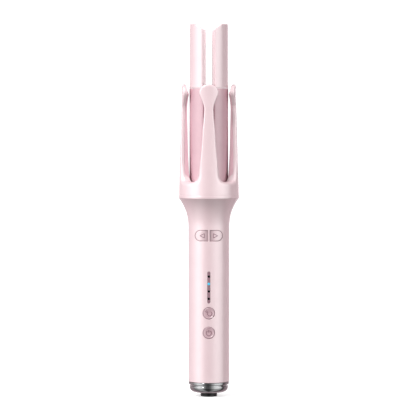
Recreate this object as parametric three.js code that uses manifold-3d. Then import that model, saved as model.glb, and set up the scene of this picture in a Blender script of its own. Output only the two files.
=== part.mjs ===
// Automatic hair curler: a rotating slotted barrel inside a cage with four petals, on a round handle.
//
// Units are millimetres and +Z is up. The origin is the middle of the cord gland's flat end, the barrel
// turns about Z, and the buttons face -Y. Each sub-part is one closed mesh with its own name.
// Needs the npm packages three and manifold-3d.

import * as THREE from "three";
import { mergeVertices } from "three/addons/utils/BufferGeometryUtils.js";
import Module from "manifold-3d";

const wasm = await Module();
wasm.setup();

// ---------------------------------------------------------------- driving dimensions

const GAP = 0.3; // clearance between neighbouring pieces
const ROUND = 36; // sides of a large round piece in view
const HIDDEN_ROUND = 24; // sides of a round piece inside
const SMALL_ROUND = 14; // sides of a small round piece
const FAR = 40; // longer than any radius, for cutting tools
const TALL = 400; // taller than the whole curler, for cutting tools

// Handle
const HANDLE_R = 17.1;
const WALL = 2.2;
const BORE_R = HANDLE_R - WALL;
const HOLE_DEPTH = 9; // distance from the axis to which holes are cut, well inside the wall
const HANDLE_BOTTOM = 12.5;
const FLARE_BOTTOM = 139;
const FLARE_TOP = 165.2;
const FLARE_R = 25.2;
const FLARE_POWER = 2.5;

// Base of the handle
const GLAND_R = 7;
const GLAND_NECK_R = 5;
const GLAND_BORE_R = 3.4;
const GLAND_TOP = 10;
const CAP_BOTTOM = 3.6;
const CAP_FLAT_R = 11.4;
const CAP_R = 16.1;
const CAP_DOME_TOP = 7.8;
const CAP_TOP = 9.9;
const CAP_SPIGOT_R = 14.4;
const CAP_SPIGOT_TOP = 15;
const CAP_WALL = 1.7;
const TRIM_R = 16.95;
const CLIP_R = 8.4; // spring clip that keeps the gland in the cap
const CLIP_TOP = 8.3;

// Sliding contacts between the swivelling cord gland and the handle
const DISC_R = 9;
const DISC_THICKNESS = 1.2;
const TRACK_THICKNESS = 0.6;
const TRACKS = { inner: [3.9, 5.4], outer: [6.6, 8.1] }; // inner and outer radius of each brass ring
const CONTACT_PIN_R = 0.6;
const HOLDER_LOW = 16;
const HOLDER_HIGH = 18;
const WIRE_HOLE_R = 2;
const WIRE_HOLE_X = 9;

// Controls, by their height on the front of the handle
const TURN_Z = 134.4;
const TURN_HALF_LENGTH = 11.2;
const TURN_HALF_HEIGHT = 4.25;
const TURN_SPLIT = 0.85; // from the middle to each button's straight side
const BUTTON_R = 4.65;
const TEMPERATURE_Z = 70.4;
const POWER_Z = 54.2;
const BUTTON_PROUD = 0.25; // how far the button faces stand out of the handle
const BUTTON_BACK = 13.5; // distance of the turn buttons' inner side from the axis
const TURN_FLANGE = { thickness: 1, halfWidth: 4.9, halfHeight: 5.2 }; // keeps a turn button in the handle
const ROUND_FLANGE = { radius: 5.6, front: -13.2, back: -12.2 };
const STEM_R = 1.5;
const WINDOW_HALF_WIDTH = 1.15;
const WINDOW_LOW = 78.6;
const WINDOW_HIGH = 104.8;
const WINDOW_BACK = 14.2; // distance of the pane's inner side from the axis
const WINDOW_LIP = { halfWidth: 2.7, front: -14.35, back: -13.9, overlap: 1.5 };
const LAMPS = 4;
const LAMP_LOW = 82.4;
const LAMP_PITCH = 6.13;
const LAMP_R = 1;
const LAMP_TIP = -13.5;
const LAMP_BASE_HALF = 1.3;
const LAMP_BASE_FRONT = -9.6;

// Board and switches inside the handle
const BOARD_FRONT = -8.2; // y of the board's front face
const BOARD_BACK = -7;
const BOARD_HALF_WIDTH = 8;
const BOARD_LOW = 47;
const BOARD_HIGH = 141;
const SWITCH_HALF = 2.5;
const SWITCH_FACE = -10.3;
const PLUNGER_TIP = -11;
const PLUNGER_R = 1.1;
const STEM_TIP = -11.6; // back end of every button's stem
const TURN_SWITCH_X = 5;
const PEG_R = 1.2;
const PEG_X = 6.5;
const PEG_HEIGHTS = [62.3, 115];
const CHIP = { halfWidth: 3.2, thickness: 1.3, low: 92, high: 98.4 };
const CAPACITOR = { radius: 4, low: 64, high: 78 };
const FUSE = { radius: 1.7, endRadius: 0.9, low: 36.5, high: 45.5, taper: 1.1 };
const TERMINAL = { halfWidth: 6, halfDepth: 3.5, low: 21, high: 29, holeR: 1.2, holeX: 3 };

// Screws that hold the two halves of the handle
const SCREW_X = 7.5;
const SCREW_Z = 33;
const SCREW_R = 1;
const SCREW_TIP = -5;
const SCREW_HEAD_R = 2;
const SCREW_SEAT = 12.3; // y of the underside of the head
const SCREW_HEAD = 1.5;
const RECESS = { halfLength: 1.2, halfWidth: 0.25, depth: 0.7 }; // one bar of the cross in the head
const BOSS_R = 3.2;

// Cage
const RIM_BOTTOM = 165.5;
const RIM_TOP = 168.3;
const RIM_R = 25.3;
const CAGE_BOTTOM = 168.6;
const CAGE_R = 25.15;
const CAGE_TOP_R = 22.5;
const CAGE_SHELL = 2.2; // thickness of the cage outside its liner
const PETALS = 4;
const PETAL_SHOULDER = 248;
const PETAL_TOP = 259;
const HEAD_LOW = 243; // where the shell starts to thicken inwards to the petals' heads
const HEAD_FULL = 252; // and where it has its full thickness
const HEAD_INNER_R = 19.4;
const HEAD_CHAMFER = 0.8;
const LINER_INNER_R = 18.4;
const LINER_TOP = 254;
const WINDOW_FLOOR = 178.6;
const PETAL_FOOT_HALF = 17.6;

// Edge of one petal as [half width, height], from its foot to its rounded head
const PETAL_EDGE = [
  [PETAL_FOOT_HALF, WINDOW_FLOOR],
  [12.6, 179],
  [9.6, 181.8],
  [8.1, 188.8],
  [6.2, 205],
  [5.1, 221.5],
  [3.85, 238],
  [5.4, 244.8],
  [8.2, 251.4],
  [6.7, 256.2],
  [3.4, 258.5],
  [0, PETAL_TOP],
];

// Barrel
const BARREL_R = 16;
const BARREL_WALL = 1.6;
const BARREL_BOTTOM = 170.3;
const BARREL_JOINT = 256; // where the heated part meets the cool tip
const BARREL_TOP = 309;
const SLOT_HALF = 2.25; // half the slot's width on the barrel's axis
const SLOT_MOUTH_HALF = 4.8; // and at the barrel's surface
const SLOT_FLOOR = 190;
const SLOT_WALL = 1.5;
const SCOOP_R = 13.6; // hollow in the tip that leads hair into the slot
const SCOOP_Z = 317.5;
const TONGUE_BOTTOM = 250;
const TONGUE_WALL = 1.5;
const TONGUE_SLOT = 3.2; // from the slot to the inside of the tongue
const TIP_CEILING = 302.2;
const TIP_EDGE = 1.2; // rounding of the tip's end

// Heaters, given by distance from the axis, half width and height
const PLATE = { near: 5.1, far: 7.1, halfWidth: 4.6, low: 195, high: 248 };
const SPREADER = {
  near: 7.4,
  corner: 12.2,
  radius: 14.1,
  halfWidth: 5,
  halfAngle: 0.34,
  low: 197,
  high: 246,
};
const SENSOR = { radius: 1.1, x: 9, y: -8, low: 228, high: 238 };

// Drive
const GEAR_MODULE = 0.7;
const RING_TEETH = 32;
const PINION_TEETH = 12;
const PRESSURE_ANGLE = (20 * Math.PI) / 180;
const TOOTH_PLAY = 0.16;
const ADDENDUM = 0.9; // tooth height above the pitch circle, in modules
const DEDENDUM = 1.2; // and below it
const RING_GEAR_R = 13.6;
const MOTOR_Y = ((RING_TEETH - PINION_TEETH) * GEAR_MODULE) / 2;
const CAN_R = 6;
const CAN_HALF_DEPTH = 5;
const CAN_LOW = 119;
const CAN_HIGH = 134;
const CAN_BOSS_R = 2.4;
const GEARBOX_HALF_WIDTH = 6;
const GEARBOX_HIGH = 143.7;
const SHAFT_R = 1.5;
const SHAFT_LOW = 141.3;
const SHAFT_HIGH = 151.8;
const BRACKET_LOW = GEARBOX_HIGH + GAP;
const BRACKET_HIGH = 146.2;
const BRACKET_NOTCH = { halfWidth: 4, back: -9 }; // lets the wires past
const GEAR_LOW = 147.2;
const GEAR_HIGH = 152.4;
const GEAR_WEB_TOP = 154;
const SPIGOT_R = 6;
const JOURNAL_R = 7.5;
const CARRIER_BORE_R = 3;
const SLIP_RINGS = ["low", "middle", "high"];
const SLIP_LOW = 154.8;
const SLIP_PITCH = 1.7;
const SLIP_HEIGHT = 1.2;
const SLIP_R = 9;
const PLATE_LOW = 162.8;
const PLATE_HIGH = 165;
const COLLAR_R = 11;
const PLATE_RIB_LOW = 160.6;
const PLATE_RIB_R = 18.6;
const BRACKET_RIB_LOW = 142;
const BRACKET_RIB_DEPTH = 1.1;
const FLANGE_LOW = 167.6;
const CARRIER_TOP = 176;
const CARRIER_WALL = 1.5;
const CARRIER_FLOOR = 171.6;
const BRUSH = { halfWidth: 1.3, halfHeight: 0.45, back: -14.5, play: 0.3 };
const BRUSH_HOLDER = { halfWidth: 4, back: -16, front: -11, low: 154.2, high: 160 };

// ---------------------------------------------------------------- geometry helpers

// A closed mesh as a manifold-3d solid, without the empty triangles that lie on a lathe's axis.
function solid(geometry) {
  const bare = geometry.clone();
  bare.deleteAttribute("normal");
  bare.deleteAttribute("uv");
  const merged = mergeVertices(bare, 1e-4);
  const triangles = [];
  for (let i = 0; i < merged.index.count; i += 3) {
    const [a, b, c] = [0, 1, 2].map((k) => merged.index.getX(i + k));
    if (a !== b && b !== c && c !== a) triangles.push(a, b, c);
  }
  return new wasm.Manifold(
    new wasm.Mesh({
      numProp: 3,
      vertProperties: merged.attributes.position.array,
      triVerts: new Uint32Array(triangles),
    }),
  );
}

function join(...geometries) {
  return geometries.map(solid).reduce((all, next) => all.add(next));
}

function cut(body, ...tools) {
  return tools.reduce((rest, tool) => rest.subtract(solid(tool)), body);
}

// A manifold-3d solid as a flat-shaded geometry.
function geometryOf(body) {
  const mesh = body.getMesh();
  const positions = new Float32Array(mesh.numVert * 3);
  for (let i = 0; i < mesh.numVert; i++) {
    const start = i * mesh.numProp;
    positions.set(mesh.vertProperties.subarray(start, start + 3), i * 3);
  }
  const indexed = new THREE.BufferGeometry();
  indexed.setAttribute("position", new THREE.BufferAttribute(positions, 3));
  indexed.setIndex(new THREE.BufferAttribute(mesh.triVerts, 1));
  const flat = indexed.toNonIndexed();
  flat.computeVertexNormals();
  return flat;
}

// A profile of [radius, z] points, anticlockwise with the radius to the right, turned about Z.
function turned(profile, sides = ROUND) {
  const points = profile.map(([r, z]) => new THREE.Vector2(r, z));
  const onAxis = profile[0][0] === 0 && profile.at(-1)[0] === 0;
  if (!onAxis) points.push(points[0].clone());
  return new THREE.LatheGeometry(points, sides).rotateX(Math.PI / 2);
}

function ring(inner, outer, low, high, sides = ROUND) {
  return turned([[inner, low], [outer, low], [outer, high], [inner, high]], sides);
}

function rod(radius, low, high, sides = SMALL_ROUND) {
  return turned([[0, low], [radius, low], [radius, high], [0, high]], sides);
}

function block(x, y, z) {
  const size = [x, y, z].map(([low, high]) => high - low);
  const middle = [x, y, z].map(([low, high]) => (low + high) / 2);
  return new THREE.BoxGeometry(...size).translate(...middle);
}

// An outline of [x, y] points extruded from z = low to high.
function prism(outline, low, high) {
  const shape = new THREE.Shape(outline.map(([x, y]) => new THREE.Vector2(x, y)));
  const made = new THREE.ExtrudeGeometry(shape, { depth: high - low, bevelEnabled: false });
  return made.translate(0, 0, low);
}

// Turns a geometry made along +Z to point along -Y, to the front, with its own y upwards.
function facingFront(geometry) {
  return geometry.rotateX(Math.PI / 2);
}

// A rod along Y, at x and z, between two y values.
function rodAlongY(radius, x, z, low, high, sides = SMALL_ROUND) {
  return facingFront(rod(radius, -high, -low, sides)).translate(x, 0, z);
}

function arc(x, y, radiusX, radiusY, from, to, steps) {
  const curve = new THREE.EllipseCurve(x, y, radiusX, radiusY, from, to, to < from);
  return curve.getPoints(steps).map((p) => [p.x, p.y]);
}

function mirrored(points) {
  return points.map(([x, y]) => [-x, y]).reverse();
}

// ---------------------------------------------------------------- materials

const MATERIALS = {
  shell: { color: 0xf1dcdf, roughness: 0.35, metalness: 0 },
  rose: { color: 0xe6b3c0, roughness: 0.3, metalness: 0.2 },
  button: { color: 0xdcb9c2, roughness: 0.35, metalness: 0 },
  chrome: { color: 0xd0d2d4, roughness: 0.12, metalness: 1 },
  black: { color: 0x161617, roughness: 0.4, metalness: 0 },
  smoke: { color: 0x5b4a50, roughness: 0.15, metalness: 0 },
  lamp: { color: 0x3fc3f0, roughness: 0.2, metalness: 0 },
  board: { color: 0x1d6b45, roughness: 0.5, metalness: 0 },
  brass: { color: 0xc9a24a, roughness: 0.3, metalness: 1 },
  steel: { color: 0xa9adb0, roughness: 0.35, metalness: 1 },
  resin: { color: 0xece6da, roughness: 0.55, metalness: 0 },
  ceramic: { color: 0xf2f0ea, roughness: 0.6, metalness: 0 },
  carbon: { color: 0x2b2b2d, roughness: 0.7, metalness: 0 },
};

function piece(name, finish, body) {
  const made = body.isBufferGeometry ? solid(body) : body;
  const mesh = new THREE.Mesh(geometryOf(made), new THREE.MeshStandardMaterial(MATERIALS[finish]));
  mesh.name = name;
  return mesh;
}

function sideName(side) {
  return side < 0 ? "left" : "right";
}

// ---------------------------------------------------------------- handle housings

function flareRadius(z) {
  const share = Math.max(0, (z - FLARE_BOTTOM) / (FLARE_TOP - FLARE_BOTTOM));
  return HANDLE_R + (FLARE_R - HANDLE_R) * share ** FLARE_POWER;
}

function housingTube() {
  const steps = 7;
  const heights = [HANDLE_BOTTOM];
  for (let i = 0; i <= steps; i++) {
    heights.push(FLARE_BOTTOM + ((FLARE_TOP - FLARE_BOTTOM) * i) / steps);
  }
  const outer = heights.map((z) => [flareRadius(z), z]);
  const inner = heights.map((z) => [flareRadius(z) - WALL, z]).reverse();
  return turned([...outer, ...inner]);
}

// Ribs inside the housings that carry the motor bracket and the bearing plate.
function housingRibs() {
  const bracketRib = ring(BORE_R - BRACKET_RIB_DEPTH, BORE_R + 1, BRACKET_RIB_LOW, BRACKET_LOW - GAP);
  const plateRib = ring(PLATE_RIB_R, flareRadius(PLATE_RIB_LOW) - 1, PLATE_RIB_LOW, PLATE_LOW - GAP);
  return [bracketRib, plateRib];
}

// One housing half: the tube with its ribs and screw bosses, between two y values.
function housingHalf(low, high) {
  const side = solid(block([-FAR, FAR], [low, high], [0, TALL]));
  const tube = join(housingTube(), ...housingRibs()).intersect(side);
  const room = solid(rod(HANDLE_R - WALL / 2, HANDLE_BOTTOM, FLARE_BOTTOM, ROUND));
  const bosses = [-SCREW_X, SCREW_X].map((x) => rodAlongY(BOSS_R, x, SCREW_Z, low, high));
  return tube.add(join(...bosses).intersect(room));
}

// One half of the turn buttons' pill outline, grown all round; side is 1 for right and -1 for left.
function turnOutline(side, grow) {
  const radius = TURN_HALF_HEIGHT + grow;
  const centre = TURN_HALF_LENGTH - TURN_HALF_HEIGHT;
  const flat = TURN_SPLIT - grow;
  const right = [
    [flat, -radius],
    ...arc(centre, 0, radius, radius, -Math.PI / 2, Math.PI / 2, 12),
    [flat, radius],
  ];
  return side > 0 ? right : mirrored(right);
}

function turnPrism(side, grow) {
  return facingFront(prism(turnOutline(side, grow), HOLE_DEPTH, FAR)).translate(0, 0, TURN_Z);
}

function windowPrism(grow, depth) {
  const radius = WINDOW_HALF_WIDTH + grow;
  const upper = arc(0, WINDOW_HIGH - WINDOW_HALF_WIDTH, radius, radius, 0, Math.PI, 8);
  const lower = arc(0, WINDOW_LOW + WINDOW_HALF_WIDTH, radius, radius, Math.PI, 2 * Math.PI, 8);
  return facingFront(prism([...upper, ...lower], depth, FAR));
}

// Pegs on the front housing that the board rests against.
function boardPegs() {
  const room = solid(rod(HANDLE_R - WALL / 2, HANDLE_BOTTOM, FLARE_BOTTOM, ROUND));
  const places = [-PEG_X, PEG_X].flatMap((x) => PEG_HEIGHTS.map((z) => [x, z]));
  const pegs = places.map(([x, z]) => rodAlongY(PEG_R, x, z, -FAR, BOARD_FRONT - GAP));
  return join(...pegs).intersect(room);
}

function frontHousing() {
  return cut(
    housingHalf(-FAR, -GAP / 2).add(boardPegs()),
    turnPrism(-1, GAP),
    turnPrism(1, GAP),
    windowPrism(GAP, HOLE_DEPTH),
    rodAlongY(BUTTON_R + GAP, 0, TEMPERATURE_Z, -FAR, -HOLE_DEPTH, HIDDEN_ROUND),
    rodAlongY(BUTTON_R + GAP, 0, POWER_Z, -FAR, -HOLE_DEPTH, HIDDEN_ROUND),
    ...[-SCREW_X, SCREW_X].map((x) => rodAlongY(SCREW_R + GAP, x, SCREW_Z, SCREW_TIP - 1, 1)),
  );
}

function rearHousing() {
  const holes = [-SCREW_X, SCREW_X].flatMap((x) => [
    rodAlongY(SCREW_R + GAP, x, SCREW_Z, -1, FAR),
    rodAlongY(SCREW_HEAD_R + GAP, x, SCREW_Z, SCREW_SEAT - GAP, FAR),
  ]);
  return cut(housingHalf(GAP / 2, FAR), ...holes);
}

function housingScrew(side) {
  const x = side * SCREW_X;
  const headTop = SCREW_SEAT + SCREW_HEAD;
  const bar = (halfX, halfZ) =>
    block([x - halfX, x + halfX], [headTop - RECESS.depth, headTop + 1], [SCREW_Z - halfZ, SCREW_Z + halfZ]);
  const body = join(
    rodAlongY(SCREW_R, x, SCREW_Z, SCREW_TIP, SCREW_SEAT + SCREW_HEAD / 2),
    rodAlongY(SCREW_HEAD_R, x, SCREW_Z, SCREW_SEAT, headTop),
  );
  return cut(body, bar(RECESS.halfLength, RECESS.halfWidth), bar(RECESS.halfWidth, RECESS.halfLength));
}

function housings() {
  return [
    piece("front_housing", "shell", frontHousing()),
    piece("rear_housing", "shell", rearHousing()),
    piece("housing_screw_left", "steel", housingScrew(-1)),
    piece("housing_screw_right", "steel", housingScrew(1)),
  ];
}

// ---------------------------------------------------------------- controls

function turnButton(side) {
  const [low, high] = [TURN_Z - TURN_HALF_LENGTH, TURN_Z + TURN_HALF_LENGTH];
  const wall = ring(BUTTON_BACK, HANDLE_R + BUTTON_PROUD, low, high);
  const face = solid(turnPrism(side, 0)).intersect(solid(wall));
  const middle = (side * (TURN_HALF_LENGTH + TURN_SPLIT)) / 2;
  const flange = block(
    [middle - TURN_FLANGE.halfWidth, middle + TURN_FLANGE.halfWidth],
    [-FAR, -WALL],
    [TURN_Z - TURN_FLANGE.halfHeight, TURN_Z + TURN_FLANGE.halfHeight],
  );
  const rim = ring(BUTTON_BACK, BUTTON_BACK + TURN_FLANGE.thickness, low, high);
  const stem = rodAlongY(STEM_R, side * TURN_SWITCH_X, TURN_Z, -BUTTON_BACK, STEM_TIP);
  return face.add(solid(flange).intersect(solid(rim))).add(solid(stem));
}

function roundButton(z) {
  const cap = rodAlongY(BUTTON_R, 0, z, -FAR, (ROUND_FLANGE.front + ROUND_FLANGE.back) / 2, HIDDEN_ROUND);
  const skin = rod(HANDLE_R + BUTTON_PROUD, z - 2 * BUTTON_R, z + 2 * BUTTON_R, ROUND);
  const flange = rodAlongY(ROUND_FLANGE.radius, 0, z, ROUND_FLANGE.front, ROUND_FLANGE.back);
  const stem = rodAlongY(STEM_R, 0, z, ROUND_FLANGE.front, STEM_TIP);
  return solid(cap).intersect(solid(skin)).add(join(flange, stem));
}

function tactSwitch(x, z) {
  const width = [x - SWITCH_HALF, x + SWITCH_HALF];
  const height = [z - SWITCH_HALF, z + SWITCH_HALF];
  return join(
    block(width, [SWITCH_FACE, BOARD_FRONT - GAP], height),
    rodAlongY(PLUNGER_R, x, z, PLUNGER_TIP, BOARD_FRONT - 2 * GAP),
  );
}

function indicatorWindow() {
  const skin = solid(rod(HANDLE_R, WINDOW_LOW - 1, WINDOW_HIGH + 1, ROUND));
  const pane = solid(windowPrism(0, WINDOW_BACK)).intersect(skin);
  const { halfWidth, front, back, overlap } = WINDOW_LIP;
  const lip = block([-halfWidth, halfWidth], [front, back], [WINDOW_LOW - overlap, WINDOW_HIGH + overlap]);
  return pane.add(solid(lip));
}

function lamp(z) {
  const half = LAMP_BASE_HALF;
  return join(
    block([-half, half], [LAMP_BASE_FRONT, BOARD_FRONT - GAP], [z - half, z + half]),
    rodAlongY(LAMP_R, 0, z, LAMP_TIP, BOARD_FRONT - 2 * GAP),
  );
}

function controls() {
  const lamps = [];
  for (let i = 0; i < LAMPS; i++) {
    lamps.push(piece(`lamp_${i + 1}`, "lamp", lamp(LAMP_LOW + i * LAMP_PITCH)));
  }
  return [
    piece("turn_left_button", "button", turnButton(-1)),
    piece("turn_right_button", "button", turnButton(1)),
    piece("temperature_button", "button", roundButton(TEMPERATURE_Z)),
    piece("power_button", "button", roundButton(POWER_Z)),
    piece("turn_left_switch", "black", tactSwitch(-TURN_SWITCH_X, TURN_Z)),
    piece("turn_right_switch", "black", tactSwitch(TURN_SWITCH_X, TURN_Z)),
    piece("temperature_switch", "black", tactSwitch(0, TEMPERATURE_Z)),
    piece("power_switch", "black", tactSwitch(0, POWER_Z)),
    piece("indicator_window", "smoke", indicatorWindow()),
    ...lamps,
  ];
}

// ---------------------------------------------------------------- electronics

function mainBoard() {
  return block([-BOARD_HALF_WIDTH, BOARD_HALF_WIDTH], [BOARD_FRONT, BOARD_BACK], [BOARD_LOW, BOARD_HIGH]);
}

function controlChip() {
  const back = BOARD_BACK + GAP;
  return block([-CHIP.halfWidth, CHIP.halfWidth], [back, back + CHIP.thickness], [CHIP.low, CHIP.high]);
}

function capacitor() {
  const { radius, low, high } = CAPACITOR;
  return rod(radius, low, high, HIDDEN_ROUND).translate(0, BOARD_BACK + GAP + radius, 0);
}

function thermalFuse() {
  const { radius, endRadius, low, high, taper } = FUSE;
  return turned(
    [
      [0, low],
      [endRadius, low],
      [radius, low + taper],
      [radius, high - taper],
      [endRadius, high],
      [0, high],
    ],
    SMALL_ROUND,
  );
}

// Mains terminals: a resin block with one clamp hole for each wire.
function terminalBlock() {
  const { halfWidth, halfDepth, low, high, holeR, holeX } = TERMINAL;
  const body = solid(block([-halfWidth, halfWidth], [-halfDepth, halfDepth], [low, high]));
  return cut(body, ...[-holeX, holeX].map((x) => rod(holeR, low - 1, high + 1).translate(x, 0, 0)));
}

function electronics() {
  return [
    piece("main_board", "board", mainBoard()),
    piece("control_chip", "black", controlChip()),
    piece("capacitor", "black", capacitor()),
    piece("thermal_fuse", "ceramic", thermalFuse()),
    piece("terminal_block", "resin", terminalBlock()),
  ];
}

// ---------------------------------------------------------------- end cap and cord swivel

function endCap() {
  const radii = [CAP_R - CAP_FLAT_R, CAP_DOME_TOP - CAP_BOTTOM];
  const dome = arc(CAP_FLAT_R, CAP_DOME_TOP, ...radii, -Math.PI / 2, 0, 5);
  const floor = CAP_BOTTOM + CAP_WALL;
  const inner = CAP_SPIGOT_R - CAP_WALL;
  return turned([
    [GLAND_NECK_R + GAP, CAP_BOTTOM],
    ...dome,
    [CAP_R, CAP_TOP],
    [CAP_SPIGOT_R, CAP_TOP],
    [CAP_SPIGOT_R, CAP_SPIGOT_TOP],
    [inner, CAP_SPIGOT_TOP],
    [inner, floor + 2],
    [inner - 2, floor],
    [GLAND_NECK_R + GAP, floor],
  ]);
}

function endTrimRing() {
  const low = CAP_TOP + GAP;
  const high = HANDLE_BOTTOM - GAP;
  const inner = CAP_SPIGOT_R + GAP;
  return turned([[inner, low], [TRIM_R - 0.35, low], [TRIM_R, low + 0.35], [TRIM_R, high], [inner, high]]);
}

function swivelGland() {
  return turned(
    [
      [GLAND_BORE_R, 0],
      [GLAND_R - 0.8, 0],
      [GLAND_R - 0.2, 0.3],
      [GLAND_R, 1],
      [GLAND_R, CAP_BOTTOM - GAP],
      [GLAND_NECK_R, CAP_BOTTOM - GAP],
      [GLAND_NECK_R, GLAND_TOP - 1.4],
      [GLAND_NECK_R + 1.2, GLAND_TOP - 1.4],
      [GLAND_NECK_R + 1.2, GLAND_TOP],
      [GLAND_BORE_R, GLAND_TOP],
    ],
    HIDDEN_ROUND,
  );
}

// Round plate that carries the fixed spring contacts, with a hole for the wires.
function contactHolder() {
  const plate = solid(rod(CAP_SPIGOT_R, HOLDER_LOW, HOLDER_HIGH, HIDDEN_ROUND));
  return cut(plate, rod(WIRE_HOLE_R, HOLDER_LOW - 1, HOLDER_HIGH + 1).translate(0, WIRE_HOLE_X, 0));
}

// Brass track of the sliding contact and the pin that runs on it; side is 1 or -1.
function contactParts(name, side, low) {
  const [inner, outer] = TRACKS[name];
  const top = low + TRACK_THICKNESS;
  const pin = rod(CONTACT_PIN_R, top + GAP, HOLDER_LOW - GAP);
  return [
    piece(`contact_ring_${name}`, "brass", ring(inner, outer, low, top, HIDDEN_ROUND)),
    piece(`contact_pin_${name}`, "brass", pin.translate((side * (inner + outer)) / 2, 0, 0)),
  ];
}

function baseParts() {
  const discLow = GLAND_TOP + GAP;
  const discHigh = discLow + DISC_THICKNESS;
  const clipLow = CAP_BOTTOM + CAP_WALL + GAP;
  return [
    piece("end_cap", "chrome", endCap()),
    piece("end_trim_ring", "chrome", endTrimRing()),
    piece("swivel_gland", "black", swivelGland()),
    piece("gland_clip", "steel", ring(GLAND_NECK_R + GAP, CLIP_R, clipLow, CLIP_TOP, HIDDEN_ROUND)),
    piece("contact_disc", "resin", ring(GLAND_BORE_R, DISC_R, discLow, discHigh, HIDDEN_ROUND)),
    ...contactParts("inner", 1, discHigh + GAP),
    ...contactParts("outer", -1, discHigh + GAP),
    piece("contact_holder", "resin", contactHolder()),
  ];
}

// ---------------------------------------------------------------- drive

// Involute gear outline; play thins the teeth, and a negative play widens them.
function gearOutline(teeth, rootR, tipR, play) {
  const pitchR = (teeth * GEAR_MODULE) / 2;
  const baseR = pitchR * Math.cos(PRESSURE_ANGLE);
  const involute = (r) => {
    const t = Math.sqrt(Math.max(0, (r / baseR) ** 2 - 1));
    return t - Math.atan(t);
  };
  const halfPitch = Math.PI / (2 * teeth) - play / (2 * pitchR);
  const halfAngle = (r) => halfPitch + involute(pitchR) - involute(r);
  const flank = [0, 0.45, 1].map((share) => rootR + (tipR - rootR) * share);
  const points = [];
  for (let i = 0; i < teeth; i++) {
    const middle = (2 * Math.PI * i) / teeth;
    for (const r of flank) points.push([r, middle - halfAngle(r)]);
    for (const r of flank.toReversed()) points.push([r, middle + halfAngle(r)]);
  }
  return points.map(([r, angle]) => [r * Math.cos(angle), r * Math.sin(angle)]);
}

function drivePinion() {
  const pitchR = (PINION_TEETH * GEAR_MODULE) / 2;
  const [root, tip] = [pitchR - DEDENDUM * GEAR_MODULE, pitchR + ADDENDUM * GEAR_MODULE];
  const outline = gearOutline(PINION_TEETH, root, tip, TOOTH_PLAY);
  const gear = cut(
    solid(prism(outline, GEAR_LOW, GEAR_HIGH - GAP)),
    rod(SHAFT_R + GAP, GEAR_LOW - 1, GEAR_HIGH),
  );
  return geometryOf(gear).translate(0, MOTOR_Y, 0);
}

// Inside gear that turns the barrel, closed on top by a web with a bore for the barrel carrier.
function ringGear() {
  const pitchR = (RING_TEETH * GEAR_MODULE) / 2;
  const [tip, root] = [pitchR - ADDENDUM * GEAR_MODULE, pitchR + DEDENDUM * GEAR_MODULE];
  return cut(
    solid(rod(RING_GEAR_R, GEAR_LOW, GEAR_WEB_TOP, RING_TEETH)),
    prism(gearOutline(RING_TEETH, tip, root, -TOOTH_PLAY), GEAR_LOW - 1, GEAR_HIGH),
    rod(SPIGOT_R + GAP, GEAR_HIGH - 1, GEAR_WEB_TOP + 1, HIDDEN_ROUND),
  );
}

function motorCan() {
  const flats = solid(block([-FAR, FAR], [-CAN_HALF_DEPTH, CAN_HALF_DEPTH], [CAN_LOW, CAN_HIGH]));
  const can = solid(rod(CAN_R, CAN_LOW, CAN_HIGH, HIDDEN_ROUND)).intersect(flats);
  const boss = solid(rod(CAN_BOSS_R, CAN_LOW - 1, CAN_LOW + 1));
  return geometryOf(can.add(boss)).translate(0, MOTOR_Y, 0);
}

function motorGearbox() {
  const width = [-GEARBOX_HALF_WIDTH, GEARBOX_HALF_WIDTH];
  const depth = [MOTOR_Y - CAN_HALF_DEPTH, MOTOR_Y + CAN_HALF_DEPTH];
  const box = solid(block(width, depth, [CAN_HIGH + GAP, GEARBOX_HIGH]));
  return cut(box, rod(SHAFT_R + GAP, SHAFT_LOW - GAP, GEARBOX_HIGH + 1).translate(0, MOTOR_Y, 0));
}

function motorBracket() {
  const through = [BRACKET_LOW - 1, BRACKET_HIGH + 1];
  return cut(
    solid(rod(BORE_R - GAP, BRACKET_LOW, BRACKET_HIGH, HIDDEN_ROUND)),
    rod(SHAFT_R + 2 * GAP, ...through).translate(0, MOTOR_Y, 0),
    block([-BRACKET_NOTCH.halfWidth, BRACKET_NOTCH.halfWidth], [-FAR, BRACKET_NOTCH.back], through),
  );
}

// Plate with a collar in which the barrel's journal turns.
function bearingPlate() {
  const bore = JOURNAL_R + GAP;
  const edge = flareRadius(PLATE_LOW) - WALL - GAP;
  const profile = [
    [bore, PLATE_LOW],
    [edge, PLATE_LOW],
    [edge, PLATE_HIGH],
    [COLLAR_R, PLATE_HIGH],
    [COLLAR_R, FLANGE_LOW - GAP],
    [bore, FLANGE_LOW - GAP],
  ];
  return turned(profile, HIDDEN_ROUND);
}

function slipMiddle(i) {
  return SLIP_LOW + i * SLIP_PITCH + SLIP_HEIGHT / 2;
}

function brush(i) {
  const { halfWidth, halfHeight, back } = BRUSH;
  const z = slipMiddle(i);
  return block([-halfWidth, halfWidth], [back, -SLIP_R - GAP], [z - halfHeight, z + halfHeight]);
}

function brushHolder() {
  const { halfWidth, back, front, low, high } = BRUSH_HOLDER;
  const width = BRUSH.halfWidth + BRUSH.play;
  const height = BRUSH.halfHeight + BRUSH.play;
  const slots = SLIP_RINGS.map((_, i) => {
    const z = slipMiddle(i);
    return block([-width, width], [BRUSH.back - BRUSH.play, front + 1], [z - height, z + height]);
  });
  return cut(solid(block([-halfWidth, halfWidth], [back, front], [low, high])), ...slots);
}

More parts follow.
